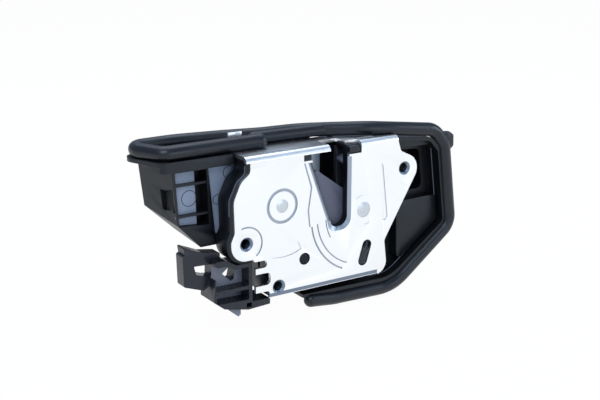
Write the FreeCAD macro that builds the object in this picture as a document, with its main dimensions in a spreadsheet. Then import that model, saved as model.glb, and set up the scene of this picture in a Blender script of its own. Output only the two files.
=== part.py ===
import FreeCAD, Part
import math
import os

import Sketcher

# Car door lock: a steel face plate over a plastic latch housing with the rotary catch and pawl, and
# behind them the main housing with its motor, levers, connector bay and rubber seal. Millimetres.
# Origin: centre of the left fixing hole on the plate's front face. X right, Y into the lock, Z up
# towards the striker mouth's open end.

DOC = FreeCAD.newDocument("DoorLock")
SHEET = DOC.addObject("Spreadsheet::Sheet", "Sizes")

DRIVING = [
    ("plate_thick", 1.8, "face plate sheet"),
    ("plate_top", 40.4, "height where the plate starts to bend"),
    ("plate_bottom", -30.85, "lower edge of the plate"),
    ("bend_radius", 3.0, "outer radius of the plate's top bend"),
    ("tap_radius", 2.5, "tapping radius of the M6 fixings"),
    ("collar_radius", 4.1, "outside of the drawn collar round a fixing"),
    ("collar_length", 5.0, "length of thread in a fixing"),
    ("ear_x", 96.5, "right fixing, across"),
    ("ear_z", 25.1, "right fixing, up"),
    ("foot_x", 18.4, "lower fixing, across"),
    ("foot_z", -25.5, "lower fixing, up"),
    ("pawl_x", 20.6, "pawl pivot, across"),
    ("pawl_z", 16.4, "pawl pivot, up"),
    ("catch_x", 70.3, "catch pivot, across"),
    ("catch_z", 6.5, "catch pivot, up"),
    ("pawl_rivet_radius", 3.4, "pawl rivet shank"),
    ("catch_rivet_radius", 4.1, "catch rivet shank"),
    ("mouth_right", 60.9, "right wall of the striker mouth"),
    ("mouth_radius", 5.5, "round bottom of the striker mouth"),
    ("mouth_left", 50.0, "left wall of the mouth at its bottom"),
    ("mouth_bottom", -0.3, "lowest point of the mouth"),
    ("front_wall", 2.0, "front wall of the latch housing"),
    ("latch_wall", 2.0, "side walls of the latch housing"),
    ("housing_depth", 11.2, "latch housing, front to back"),
    ("back_thick", 2.0, "steel back plate"),
    ("web_thick", 2.0, "wall of the main housing behind the back plate"),
    ("case_depth", 19.0, "gear case, inside"),
    ("cover_thick", 2.6, "rear cover"),
    ("case_wall", 2.0, "side walls of the gear case"),
    ("catch_front", 7.0, "front face of the steel catch"),
    ("catch_thick", 3.5, "steel catch"),
    ("cover_skin", 0.6, "plastic skin over each face of the catch"),
    ("catch_reach", 34.5, "pivot to the tip of the catch's long arm"),
    ("hook_reach", 29.0, "pivot to the tip of the catch's hook"),
    ("slot_width", 11.0, "striker slot in the catch"),
    ("slot_offset", 4.1, "pivot to the near flank of the striker slot"),
    ("seat_reach", 15.0, "pivot to the middle of the striker seat"),
    ("pawl_hub", 8.0, "pawl hub radius"),
    ("pawl_thick", 4.0, "pawl"),
    ("pawl_swing", 12.0, "degrees the pawl turns to engage"),
    ("peg_radius", 2.0, "drive peg on the pawl"),
    ("peg_reach", 12.0, "pawl pivot to its drive peg"),
    ("running_gap", 0.06, "radial clearance of a running fit"),
    ("free_gap", 0.4, "clearance between pieces that pass each other"),
    ("lever_thick", 2.0, "steel levers"),
    ("seal_radius", 3.7, "rubber bead section radius"),
    ("seal_front", 6.0, "depth of the bead's middle at the front"),
    ("seal_top", 47.15, "height of the bead's middle over the deck"),
    ("deck_bottom", 38.2, "underside of the top deck"),
    ("rim_top", 41.3, "top of the rim on the right"),
    ("recess_depth", 8.5, "recesses in the front of the left box"),
    ("bay_floor", 14.0, "floor of the connector bay"),
    ("deck_gap", 0.1, "deck below the face plate's flange"),
    ("rim_wall", 2.1, "wall of the rim on the right"),
    ("rim_front", 5.0, "front edge of the rim"),
    ("motor_length", 24.0, "motor can"),
    ("motor_height", 20.0, "motor can across its flats' ends"),
    ("motor_width", 14.6, "motor can across its flats"),
    ("motor_x", -1.0, "rear end of the motor"),
    ("motor_z", 26.0, "motor axis, up"),
    ("motor_y", 28.6, "motor axis, depth"),
    ("shaft_radius", 1.0, "motor shaft"),
    ("worm_radius", 4.0, "worm pitch radius"),
    ("worm_length", 13.0, "worm"),
    ("gear_module", 1.0, "module of worm and wheel"),
    ("wheel_teeth", 20.0, "teeth on the worm wheel"),
    ("wheel_width", 5.0, "face width of the worm wheel"),
    ("pinion_module", 1.25, "module of pinion and sector"),
    ("pinion_teeth", 8.0, "teeth on the pinion"),
    ("sector_teeth", 32.0, "teeth round the full circle of the lock lever's sector"),
    ("pivot_radius", 2.2, "pivot posts for the levers"),
    ("wire_radius", 0.5, "spring wire"),
    ("key_radius", 6.0, "key drive"),
    ("key_x", 66.0, "key drive, across"),
    ("key_y", 27.0, "key drive, depth"),
    ("screw_radius", 1.5, "self-tapping screws"),
    ("screw_head", 3.0, "radius of a screw's head"),
]


class Length:
    """A number together with the sheet expression that gives it."""

    def __init__(self, value, text):
        self.value = float(value)
        self.text = text

    def __float__(self):
        return self.value

    def __add__(self, other):
        other = length(other)
        return Length(self.value + other.value, f"({self.text} + {other.text})")

    def __sub__(self, other):
        other = length(other)
        return Length(self.value - other.value, f"({self.text} - {other.text})")

    def __mul__(self, number):
        return Length(self.value * number, f"({self.text} * {number})")

    __radd__ = __add__

    def __rsub__(self, other):
        return length(other) - self

    def __neg__(self):
        return Length(-self.value, f"(-{self.text})")


def length(value):
    """The value as a Length, for sums with plain numbers."""
    if isinstance(value, Length):
        return value
    return Length(value, f"({value})")


class Values:
    """The spreadsheet's cells by name."""


SIZE = Values()
for row, (alias, number, note) in enumerate(DRIVING, start=1):
    SHEET.set(f"A{row}", alias)
    SHEET.set(f"B{row}", str(number))
    SHEET.set(f"C{row}", note)
    SHEET.setAlias(f"B{row}", alias)
DOC.recompute()
for alias, _, _ in DRIVING:
    setattr(SIZE, alias, Length(SHEET.get(alias), f"Sizes.{alias}"))

# Depths of the layers, front to back
BACK_Y = SIZE.plate_thick + SIZE.housing_depth
WEB_Y = BACK_Y + SIZE.back_thick
CASE_Y = WEB_Y + SIZE.web_thick
COVER_Y = CASE_Y + SIZE.case_depth
END_Y = COVER_Y + SIZE.cover_thick
FLANGE_TOP = SIZE.plate_top + SIZE.bend_radius
FLANGE_LOW = FLANGE_TOP - SIZE.plate_thick
DECK_LOW_TOP = FLANGE_LOW - SIZE.deck_gap
SLOT_DIRECTION = math.radians(144)

PIECES = []


def turned(point, centre, degrees):
    """A point of the XZ plane turned about a centre, anticlockwise as seen from the front."""
    angle = math.radians(degrees)
    dx = point[0] - float(centre[0])
    dz = point[1] - float(centre[1])
    x = float(centre[0]) + dx * math.cos(angle) - dz * math.sin(angle)
    z = float(centre[1]) + dx * math.sin(angle) + dz * math.cos(angle)
    return (x, z) + tuple(point[2:])


def polar(centre, radius, degrees, rounding=0.0):
    """A corner at a radius and angle from a centre."""
    angle = math.radians(degrees)
    x = float(centre[0]) + float(radius) * math.cos(angle)
    z = float(centre[1]) + float(radius) * math.sin(angle)
    return (x, z, rounding)


def vector(x, y, z=0.0):
    return FreeCAD.Vector(float(x), float(y), float(z))


def corner_arc(before, here, after, radius):
    """Start, middle and end of the arc that rounds a corner, in two or three dimensions."""
    one = (before - here).normalize()
    two = (after - here).normalize()
    turn = math.pi - one.getAngle(two)
    back = radius * math.tan(turn / 2)
    start = here + one * back
    end = here + two * back
    inward = (one + two).normalize()
    centre = here + inward * math.hypot(radius, back)
    middle = centre - inward * radius
    return start, middle, end


def outline_edges(points):
    """Lines and tangent arcs round a closed outline of corners (x, z, rounding)."""
    count = len(points)
    spots = [vector(point[0], point[1]) for point in points]
    ends = []
    for index, point in enumerate(points):
        rounding = float(point[2]) if len(point) > 2 else 0.0
        if rounding > 0:
            ends.append(corner_arc(spots[index - 1], spots[index], spots[(index + 1) % count], rounding))
        else:
            ends.append((spots[index], None, spots[index]))
    edges = []
    for index in range(count):
        start, middle, end = ends[index]
        if middle is not None:
            edges.append(Part.Arc(start, middle, end))
        onward = ends[(index + 1) % count][0]
        if (onward - end).Length > 1e-6:
            edges.append(Part.LineSegment(end, onward))
    return edges


def slot(x1, z1, x2, z2, width):
    """Corners of a round-ended slot between two centres."""
    half = float(width) / 2
    ahead = vector(x2 - x1, z2 - z1).normalize()
    side = vector(-ahead.y, ahead.x)
    first = vector(x1, z1) - ahead * half
    last = vector(x2, z2) + ahead * half
    near = half * 0.999
    corners = [first - side * half, last - side * half, last + side * half, first + side * half]
    return [(corner.x, corner.y, near) for corner in corners]


def box(x1, x2, z1, z2, rounding=0.0):
    """Corners of an upright rectangle."""
    return [
        (float(x1), float(z1), rounding),
        (float(x2), float(z1), rounding),
        (float(x2), float(z2), rounding),
        (float(x1), float(z2), rounding),
    ]


def grown(points, distance):
    """The outline moved outward by a distance, for corners listed anticlockwise."""
    count = len(points)
    moved = []
    for index, point in enumerate(points):
        here = vector(point[0], point[1])
        into = (here - vector(points[index - 1][0], points[index - 1][1])).normalize()
        onward = points[(index + 1) % count]
        out = (vector(onward[0], onward[1]) - here).normalize()
        first = vector(into.y, -into.x)
        second = vector(out.y, -out.x)
        spread = first + second
        shift = spread * (2 * float(distance) / spread.Length**2)
        left_turn = into.x * out.y - into.y * out.x > 0
        rounding = float(point[2])
        if rounding > 0:
            rounding = rounding + float(distance) * (1 if left_turn else -1)
        moved.append((here.x + shift.x, here.y + shift.y, max(rounding, 0.05)))
    return moved


def circle(x, z, radius):
    """A round contour of a sketch, given by its centre and a radius from the sheet."""
    return ("circle", float(x), float(z), length(radius))


PLANES = {"front": ("XZ_Plane", -1), "top": ("XY_Plane", 1), "side": ("YZ_Plane", 1)}


class Piece:
    """One sub-part, built as a body of sketched features."""

    def __init__(self, name):
        self.name = name
        self.body = DOC.addObject("PartDesign::Body", name)
        self.body.Label = name
        self.count = 0
        PIECES.append(self.body)

    def sketch(self, contours, at, plane="front"):
        """A sketch of contours at a distance along Y, Z or X."""
        role, sign = PLANES[plane]
        self.count += 1
        made = self.body.newObject("Sketcher::SketchObject", f"{self.name}_sketch_{self.count}")
        origin = next(f for f in self.body.Origin.OriginFeatures if f.Role == role)
        made.AttachmentSupport = (origin, [""])
        made.MapMode = "FlatFace"
        at = length(at)
        text = at.text if sign > 0 else f"-{at.text}"
        made.setExpression("AttachmentOffset.Base.z", text)
        for contour in contours:
            if contour[0] == "circle":
                _, x, z, radius = contour
                curve = Part.Circle(vector(x, z), vector(0, 0, 1), radius.value)
                index = made.addGeometry(curve, False)
                bound = made.addConstraint(Sketcher.Constraint("Radius", index, radius.value))
                made.setExpression(f"Constraints[{bound}]", radius.text)
                made.addConstraint(Sketcher.Constraint("DistanceX", index, 3, x))
                made.addConstraint(Sketcher.Constraint("DistanceY", index, 3, z))
            else:
                made.addGeometry(outline_edges(contour), False)
        return made

    def feature(self, kind, made, deep, backward):
        """A pad or pocket of a sketch, with its length bound to the sheet."""
        result = self.body.newObject(kind, f"{made.Name}_{kind.split('::')[1].lower()}")
        result.Profile = made
        result.Type = 0
        result.setExpression("Length", length(deep).text)
        result.Reversed = backward
        made.Visibility = False
        return result

    def pad(self, contours, at, deep, plane="front"):
        """Adds material from a distance onwards along the plane's row axis."""
        made = self.sketch(contours, at, plane)
        return self.feature("PartDesign::Pad", made, deep, plane == "front")

    def pocket(self, contours, at, deep, plane="front"):
        """Cuts from a distance onwards along the plane's row axis."""
        made = self.sketch(contours, at, plane)
        return self.feature("PartDesign::Pocket", made, deep, plane != "front")

    def loft(self, sections, kind="PartDesign::AdditiveLoft"):
        """A ruled loft through (outline, depth) sections."""
        made = [self.sketch([outline], at) for outline, at in sections]
        result = self.body.newObject(kind, f"{made[0].Name}_loft")
        result.Profile = made[0]
        result.Sections = made[1:]
        result.Ruled = True
        return result

    def revolve(self, contour, centre):
        """A full turn of a half section (radius, depth) about a Y axis through the centre."""
        points = [(float(centre[0]) + point[0], point[1]) + tuple(point[2:]) for point in contour]
        made = self.sketch([points], centre[1], "top")
        axis = made.addGeometry(
            Part.LineSegment(vector(centre[0], 0), vector(centre[0], 1)), True
        )
        result = self.body.newObject("PartDesign::Revolution", f"{made.Name}_turn")
        result.Profile = made
        result.ReferenceAxis = (made, ["Axis0"])
        result.Angle = 360
        return result


def plain_piece(name, shape):
    """A sub-part whose shape the plain modelling functions make from the sheet's sizes."""
    made = DOC.addObject("Part::Feature", name)
    made.Label = name
    made.Shape = shape
    made.Placement = FreeCAD.Placement()
    PIECES.append(made)
    return made


# Places shared by several pieces
PAWL = (SIZE.pawl_x, SIZE.pawl_z)
CATCH = (SIZE.catch_x, SIZE.catch_z)
EAR = (SIZE.ear_x, SIZE.ear_z)
FOOT = (SIZE.foot_x, SIZE.foot_z)
WHEEL = (
    SIZE.motor_x + SIZE.motor_length + 12.5,
    SIZE.motor_z - SIZE.worm_radius - SIZE.gear_module * (SIZE.wheel_teeth.value / 2),
)
PINION_REACH = SIZE.pinion_module * (SIZE.pinion_teeth.value / 2)
SECTOR_REACH = SIZE.pinion_module * (SIZE.sector_teeth.value / 2)
LOCK_PIVOT = (WHEEL[0], WHEEL[1] - PINION_REACH - SECTOR_REACH)
INSIDE_PIVOT = (14.0, 5.0)
EMERGENCY_PIVOT = (42.8, -8.5)
EMERGENCY_TIP = (71.6, -17.6)
PLATE_SCREW = (33.8, -13.6)
MOUTH_POCKET_DEEP = 8.0
CATCH_MOUTH_DEPTH = 12.0

PLATE_OUTLINE = [
    (2.7, SIZE.plate_top, 0),
    (2.7, 35.6, 3.5),
    (-2.6, 31.6, 8),
    (-6.8, 22.6, 9),
    (-6.4, 6.8, 4),
    (-8.5, 2.2, 3),
    (-8.5, -8.5, 8.3),
    (3.4, -8.5, 1.2),
    (5.0, -10.4, 0.6),
    (5.0, SIZE.plate_bottom, 1),
    (86.5, SIZE.plate_bottom, 6.5),
    (84.2, -12.6, 3),
    (108.3, 27.8, 8.2),
    (94.0, 34.7, 3),
    (92.2, SIZE.plate_top, 0),
]

MOUTH_TOP = 60.0


def mouth_outline(spread):
    """The striker mouth in the face plate, open upward, widened all round by spread."""
    right = SIZE.mouth_right.value + spread
    low = SIZE.mouth_bottom.value - spread
    round_off = SIZE.mouth_radius.value * 0.9 + spread
    return [
        (right, MOUTH_TOP, 0),
        (39.2 - spread * 0.94, MOUTH_TOP, 0),
        (39.2 - spread * 0.94, 35.0 - spread * 0.3, 0),
        (SIZE.mouth_left.value - spread * 0.94, 5.2, 3.0),
        (SIZE.mouth_left.value + 1.5 - spread * 0.6, low, round_off * 0.7),
        (right, low, round_off),
    ]


LATCH_OUTLINE = [
    (1.0, DECK_LOW_TOP, 0),
    (1.0, 35.4, 3.0),
    (-3.9, 31.8, 8),
    (-8.3, 22.8, 9),
    (-7.9, 7.2, 4),
    (-10.0, 2.6, 3),
    (-10.0, -10.0, 9.6),
    (15.2, -10.0, 0.5),
    (15.2, -30.3, 1),
    (84.5, -30.3, 5),
    (82.6, -12.4, 3),
    (91.0, 1.6, 1),
    (91.0, DECK_LOW_TOP, 0),
]

BACK_OUTLINE = [
    (3.0, 39.2, 0),
    (3.0, 36.4, 3.0),
    (-1.9, 33.0, 8),
    (-5.8, 23.4, 9),
    (-5.4, 8.2, 4),
    (-7.5, 3.6, 3),
    (-7.5, -7.5, 7.2),
    (17.6, -7.5, 0.5),
    (17.6, -28.3, 1),
    (82.6, -28.3, 4),
    (80.9, -11.4, 3),
    (89.0, 2.1, 1),
    (89.0, 39.2, 0),
]


def make_face_plate():
    """Zinc-plated sheet with a bent top flange, drawn fixing collars and embossed clearances."""
    piece = Piece("face_plate")
    outline = PLATE_OUTLINE[::-1]
    piece.pad([outline], 0, SIZE.plate_thick)
    bend = SIZE.bend_radius.value
    thick = SIZE.plate_thick.value
    top = SIZE.plate_top.value
    arc_out = (0.0, top + bend, bend - 0.001)
    profile = [
        (0.0, top, 0),
        arc_out,
        (bend, top + bend, 0),
        (bend, top + bend - thick, 0),
        (thick, top + bend - thick, bend - thick - 0.001),
        (thick, top, 0),
    ]
    piece.pad([profile[::-1]], 0.6, length(91.6), "side")
    flange = [
        (0.6, bend, 0),
        (92.2, bend, 0),
        (91.6, 3.05, 0),
        (84.0, 5.6, 0),
        (80.0, 8.3, 0),
        (66.0, 13.0, 0),
        (46.0, 22.0, 0),
        (0.6, 25.5, 0),
    ]
    piece.pad([flange], FLANGE_LOW, SIZE.plate_thick, "top")
    for centre in ((0, 0), EAR, FOOT):
        piece.pad(
            [circle(centre[0], centre[1], SIZE.collar_radius)],
            SIZE.plate_thick,
            SIZE.collar_length - SIZE.plate_thick,
        )
    mouth = mouth_outline(0.0)
    mouth[0] = (SIZE.mouth_right, 40.4, 0)
    mouth[1] = (33.4, 40.4, 0)
    mouth[2] = (33.4, 37.2, 0)
    mouth.insert(3, (38.3, 37.2, 0))
    piece.pocket([mouth], 0, SIZE.plate_thick)
    piece.pocket([box(49.5, SIZE.mouth_right, 36.0, MOUTH_TOP)], 0, length(CATCH_MOUTH_DEPTH))
    piece.pocket([box(SIZE.mouth_right - 0.5, 68.5, 37.3, MOUTH_TOP)], 0, length(4.4))
    holes = [circle(x, z, SIZE.tap_radius) for x, z in ((0, 0), EAR, FOOT)]
    piece.pocket(holes, 0, SIZE.collar_length)
    piece.pocket([circle(PAWL[0], PAWL[1], SIZE.pawl_rivet_radius)], 0, SIZE.plate_thick)
    piece.pocket([circle(CATCH[0], CATCH[1], SIZE.catch_rivet_radius)], 0, SIZE.plate_thick)
    piece.pocket([circle(PLATE_SCREW[0], PLATE_SCREW[1], 3.2)], 0, SIZE.plate_thick)
    piece.pocket([slot(72.8, -13.2, 70.3, -21.3, 5.8)], 0, SIZE.plate_thick)
    notches = [
        box(2.0, 11.6, -13.8, -10.0, 1.8),
        box(2.0, 13.6, -23.2, -16.8, 2.4),
        box(2.0, 13.0, -40.0, -26.6, 1.5),
    ]
    for notch in notches:
        piece.pocket([notch], 0, SIZE.plate_thick)
    piece.pocket([slot(71.8, 5.0, 77.6, 5.0, 4.2)], FLANGE_LOW, SIZE.plate_thick, "top")
    piece.pocket([slot(12.6, 5.0, 23.4, 5.0, 1.2)], FLANGE_LOW, SIZE.plate_thick, "top")
    ring = [circle(PAWL[0], PAWL[1], 9.0), circle(PAWL[0], PAWL[1], 7.5)]
    piece.pocket(ring, 0, length(0.35))
    return piece


def make_latch_housing():
    """Moulded shell behind the plate: it carries the mouth's liner and the rivet bosses."""
    piece = Piece("latch_housing")
    outer = LATCH_OUTLINE
    piece.pad([outer], SIZE.plate_thick, SIZE.housing_depth)
    inner = grown(outer, -SIZE.latch_wall)
    cavity_y = SIZE.plate_thick + SIZE.front_wall
    piece.pocket([inner], cavity_y, SIZE.housing_depth)
    liner_deep = SIZE.catch_front - SIZE.cover_skin - SIZE.free_gap - cavity_y
    for centre, radius in ((PAWL, 6.0), (CATCH, 7.0)):
        piece.pad([circle(centre[0], centre[1], radius)], cavity_y, liner_deep)
    liner = mouth_outline(2.0)
    liner[0] = (liner[0][0], inner[0][1] + 0.5, 0)
    liner[1] = (liner[1][0], inner[0][1] + 0.5, 0)
    piece.pad([liner], cavity_y, liner_deep)
    for centre in ((0, 0), FOOT):
        piece.pad([circle(centre[0], centre[1], 6.6)], cavity_y, BACK_Y - cavity_y)
    piece.pocket([mouth_outline(0.2)], SIZE.plate_thick, liner_deep + SIZE.front_wall)
    opening = box(39.0, SIZE.mouth_right + 0.2, 36.0, MOUTH_TOP)
    piece.pocket([opening], SIZE.plate_thick, SIZE.housing_depth)
    for centre in ((0, 0), FOOT):
        hole = circle(centre[0], centre[1], SIZE.collar_radius + SIZE.free_gap * 0.5)
        piece.pocket([hole], SIZE.plate_thick, SIZE.housing_depth)
    rivets = [
        circle(PAWL[0], PAWL[1], SIZE.pawl_rivet_radius + SIZE.running_gap),
        circle(CATCH[0], CATCH[1], SIZE.catch_rivet_radius + SIZE.running_gap),
    ]
    piece.pocket(rivets, SIZE.plate_thick, SIZE.housing_depth)
    piece.pad([circle(PLATE_SCREW[0], PLATE_SCREW[1], SIZE.screw_radius + 1.2)], cavity_y, BACK_Y - cavity_y)
    screw_hole = circle(PLATE_SCREW[0], PLATE_SCREW[1], SIZE.screw_radius)
    piece.pocket([screw_hole], SIZE.plate_thick, SIZE.housing_depth)
    window = slot(73.2, -11.8, 70.1, -21.8, 7.4)
    piece.pocket([window], SIZE.plate_thick, SIZE.front_wall)
    bend_inside = SIZE.bend_radius - SIZE.plate_thick + 0.1
    relief = [
        (SIZE.plate_thick - 0.1, FLANGE_LOW - bend_inside, 0),
        (SIZE.plate_thick + bend_inside, FLANGE_LOW + 0.1, 0),
        (SIZE.plate_thick - 0.1, FLANGE_LOW + 0.1, 0),
    ]
    piece.pocket([relief], length(-15.0), length(120.0), "side")
    return piece


def make_back_plate():
    """Steel plate behind the catch that carries the far ends of both rivets."""
    piece = Piece("back_plate")
    piece.pad([BACK_OUTLINE], BACK_Y, SIZE.back_thick)
    mouth = [
        (SIZE.mouth_right + 0.6, MOUTH_TOP, 0),
        (51.4, MOUTH_TOP, 0),
        (51.4, 2.0, 3.0),
        (53.4, -2.6, 3.0),
        (SIZE.mouth_right + 0.6, -2.6, 4.0),
    ]
    piece.pocket([mouth], BACK_Y, SIZE.back_thick)
    rivets = [
        circle(PAWL[0], PAWL[1], SIZE.pawl_rivet_radius),
        circle(CATCH[0], CATCH[1], SIZE.catch_rivet_radius),
    ]
    piece.pocket(rivets, BACK_Y, SIZE.back_thick)
    piece.pocket([peg_window()], BACK_Y, SIZE.back_thick)
    piece.pocket([circle(PLATE_SCREW[0], PLATE_SCREW[1], 2.2)], BACK_Y, SIZE.back_thick)
    piece.pocket([emergency_window()], BACK_Y, SIZE.back_thick)
    return piece


def peg_window():
    """The slot that the pawl's drive peg travels in."""
    width = SIZE.peg_radius.value * 2 + SIZE.free_gap.value * 2
    low = turned((float(PAWL[0]) - SIZE.peg_reach.value, float(PAWL[1])), PAWL, 0)
    high = turned(low, PAWL, SIZE.pawl_swing.value)
    return slot(low[0] + 0.15, low[1], high[0], high[1], width)


def emergency_window():
    """The slot in the walls that the emergency lever's tip swings in."""
    return box(66.6, 77.4, -25.2, -8.6, 1.5)


def make_rivets():
    """The two pivots, riveted over at the plate's face and behind the back plate."""
    pawl = Piece("pawl_rivet")
    tail = SIZE.free_gap + SIZE.lever_thick + 1.0
    pawl.pad([circle(PAWL[0], PAWL[1], SIZE.pawl_rivet_radius)], 0, CASE_Y + tail)
    catch = Piece("catch_rivet")
    catch.pad([circle(CATCH[0], CATCH[1], SIZE.catch_rivet_radius)], 0, WEB_Y + 1.7)
    catch.pad([circle(CATCH[0], CATCH[1], SIZE.catch_rivet_radius + 1.7)], WEB_Y, length(1.7))
    return pawl, catch


def slot_corner(along, across, rounding=0.0):
    """A corner of the catch, along its striker slot and across it, from the pivot."""
    x = float(CATCH[0]) + along * math.cos(SLOT_DIRECTION) + across * math.sin(SLOT_DIRECTION)
    z = float(CATCH[1]) + along * math.sin(SLOT_DIRECTION) - across * math.cos(SLOT_DIRECTION)
    return (x, z, rounding)


def catch_outline(inset=0.0):
    """The rotary catch, open: a fork whose slot points up and left, drawn anticlockwise."""
    near = SIZE.slot_offset.value - inset
    far = SIZE.slot_offset.value + SIZE.slot_width.value + inset
    reach = SIZE.catch_reach.value - inset
    hook = SIZE.hook_reach.value - inset
    seat = math.sqrt(SIZE.seat_reach.value**2 - (near + SIZE.slot_width.value / 2 + inset) ** 2)
    half = (far - near) / 2
    hook_end = math.sqrt(hook**2 - far**2)
    return [
        slot_corner(seat - half - inset, near, half * 0.97),
        slot_corner(math.sqrt(reach**2 - near**2), near, 1.0),
        polar(CATCH, reach, 147, 1.5),
        polar(CATCH, 29.0 - inset, 155, 4.0),
        polar(CATCH, 19.5 - inset, 183, 4.0),
        polar(CATCH, 17.0 - inset, -155, 5.0),
        polar(CATCH, 16.0 - inset, -95, 8.0),
        polar(CATCH, 16.0 - inset, -30, 8.0),
        polar(CATCH, 19.5 - inset, 20, 6.0),
        polar(CATCH, hook, 66, 6.0),
        slot_corner(hook_end - 6.0, far + 9.0, 5.0),
        slot_corner(hook_end, far, 1.0),
        slot_corner(seat - half - inset, far, half * 0.97),
    ]


def make_catch():
    """Steel fork with its plastic skin, which is cut away where the pawl and striker bear."""
    core = Piece("catch_core")
    core.pad([catch_outline(0.7)], SIZE.catch_front, SIZE.catch_thick)
    bore = circle(CATCH[0], CATCH[1], SIZE.catch_rivet_radius + SIZE.running_gap)
    core.pocket([bore], SIZE.catch_front, SIZE.catch_thick)
    skin = Piece("catch_cover")
    start = SIZE.catch_front - SIZE.cover_skin
    deep = SIZE.catch_thick + SIZE.cover_skin * 2
    skin.pad([catch_outline(0.0)], start, deep)
    skin.pocket([catch_outline(0.7)], SIZE.catch_front, SIZE.catch_thick)
    wide_bore = circle(CATCH[0], CATCH[1], SIZE.catch_rivet_radius + 1.2)
    skin.pocket([wide_bore], start, deep)
    return core, skin


def make_pawl():
    """Pawl, drawn at rest where the open catch holds it clear."""
    piece = Piece("pawl")
    start = SIZE.catch_front
    engaged_tip = (43.6, -6.1)
    heel = polar(PAWL, 29.5, -49.5, 0.8)
    swing = -SIZE.pawl_swing.value
    px, pz = float(PAWL[0]), float(PAWL[1])
    hub = SIZE.pawl_hub.value
    shape = [
        engaged_tip + (0.6,),
        (px + 8.2, pz + 4.0, 5.0),
        (px + 2.0, pz + hub + 1.0, 6.0),
        (px - hub - 1.0, pz + hub - 1.0, 6.0),
        (px - SIZE.peg_reach.value - 3.4, pz + 3.6, 3.0),
        (px - SIZE.peg_reach.value - 3.4, pz - 4.0, 3.0),
        (px - 2.0, pz - hub - 1.0, 5.0),
        (px + 8.0, pz - 14.0, 12.0),
        heel,
    ]
    shape = [turned(point, PAWL, swing) for point in shape]
    piece.pad([shape], start, SIZE.pawl_thick)
    bore = circle(PAWL[0], PAWL[1], SIZE.pawl_rivet_radius + SIZE.running_gap)
    piece.pocket([bore], start, SIZE.pawl_thick)
    peg = (float(PAWL[0]) - SIZE.peg_reach.value, float(PAWL[1]))
    peg_y = SIZE.catch_front + SIZE.pawl_thick
    peg_end = CASE_Y + SIZE.free_gap + SIZE.lever_thick
    piece.pad([circle(peg[0], peg[1], SIZE.peg_radius)], peg_y, peg_end - peg_y)
    return piece


def ring_spring(name, centre, reach, depth, coils, legs):
    """A torsion spring: rings of wire round a pivot with straight legs to its anchors."""
    wire = SIZE.wire_radius.value
    rings = []
    for turn in range(coils):
        at = vector(centre[0], float(depth) + turn * 2 * wire * 1.02, centre[1])
        rings.append(Part.makeTorus(float(reach), wire, at, vector(0, 1, 0)))
    spring = rings[0]
    for ring in rings[1:]:
        spring = spring.fuse(ring)
    for index, (angle, run) in enumerate(legs):
        turn = math.radians(angle)
        radial = vector(math.cos(turn), 0, math.sin(turn))
        along = vector(-math.sin(turn), 0, math.cos(turn))
        layer = float(depth) + (0 if index == 0 else (coils - 1) * 2 * wire * 1.02)
        start = vector(centre[0], layer, centre[1]) + radial * float(reach) - along * wire
        spring = spring.fuse(Part.makeCylinder(wire * 0.96, run, start, along))
    return plain_piece(name, spring.removeSplitter())


def make_springs():
    """Return springs of the catch, pawl and levers."""
    gap = SIZE.catch_front + SIZE.catch_thick + SIZE.cover_skin + SIZE.wire_radius + 0.15
    ring_spring("catch_spring", CATCH, 6.2, gap, 1, [(300, 12.0)])
    pawl_gap = SIZE.catch_front + SIZE.pawl_thick + SIZE.wire_radius + 0.25
    ring_spring("pawl_spring", PAWL, 4.6, pawl_gap, 1, [(60, 11.0)])
    release_gap = CASE_Y + SIZE.free_gap + SIZE.lever_thick + SIZE.wire_radius + 0.2
    ring_spring("release_spring", PAWL, 4.2, release_gap - 0.1, 1, [(20, 8.0)])


def make_bumper():
    """Rubber buffer at the bottom of the mouth, which the striker comes to rest on."""
    piece = Piece("striker_bumper")
    low = SIZE.mouth_bottom.value - 2.6
    shape = [
        (52.2, low + 0.6, 1.0),
        (60.0, low + 0.6, 1.0),
        (60.0, low + 4.2, 1.0),
        (56.5, low + 2.8, 4.0),
        (52.2, low + 4.2, 1.0),
    ]
    piece.pad([shape], WEB_Y + 0.2, length(MOUTH_POCKET_DEEP - 0.4))
    return piece


def rim_outline(inset):
    """The right tray's outline inside the bead, moved in by inset, from its lower left end."""
    edge = [
        (36.0, -37.0, 0),
        (93.4, -38.4, 24),
        (130.7, -11.4, 6),
        (125.2, 31.0, 7),
        (118.4, 38.4, 7),
        (91.0, SIZE.rim_top, 3),
        (36.0, SIZE.rim_top, 0),
    ]
    return grown(edge, -inset) if inset else edge


CASE_OUTLINE = [
    (-5.0, -4.0, 3),
    (14.5, -10.0, 4),
    (16.5, -33.0, 2),
    (84.0, -33.0, 6),
    (92.0, -18.0, 6),
    (92.0, SIZE.deck_bottom + 0.5, 0),
    (-5.0, SIZE.deck_bottom + 0.5, 0),
]

COVER_SCREWS = [(-0.6, -0.4), (20.6, -28.8), (80.0, -28.6), (87.6, -14.0), (87.6, 34.2), (45.0, 34.4)]

# The top loop of the bead: corners (x, y, rounding) from the right end of the back strand
BACK_STRAND = [(79.0, 9.4, 30), (62.0, 17.6, 40), (46.0, 24.4, 40), (24.0, 26.4, 50), (4.0, 31.6, 60), (-20.0, 36.0, 40)]
LEFT_LOOP = [(-46.4, 35.4, 6), (-35.8, 14.9, 5)]
STRAND_TIP = (16.5, 14.6)


def pocket_box(spread):
    """Outline of the mouth's pocket behind the back plate."""
    top = DECK_LOW_TOP if spread else MOUTH_TOP
    return [
        (50.6 - spread, top, 0),
        (50.6 - spread, -2.3 - spread, 2 + spread),
        (SIZE.mouth_right + 0.6 + spread, -2.3 - spread, 2 + spread),
        (SIZE.mouth_right + 0.6 + spread, top, 0),
    ]


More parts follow.
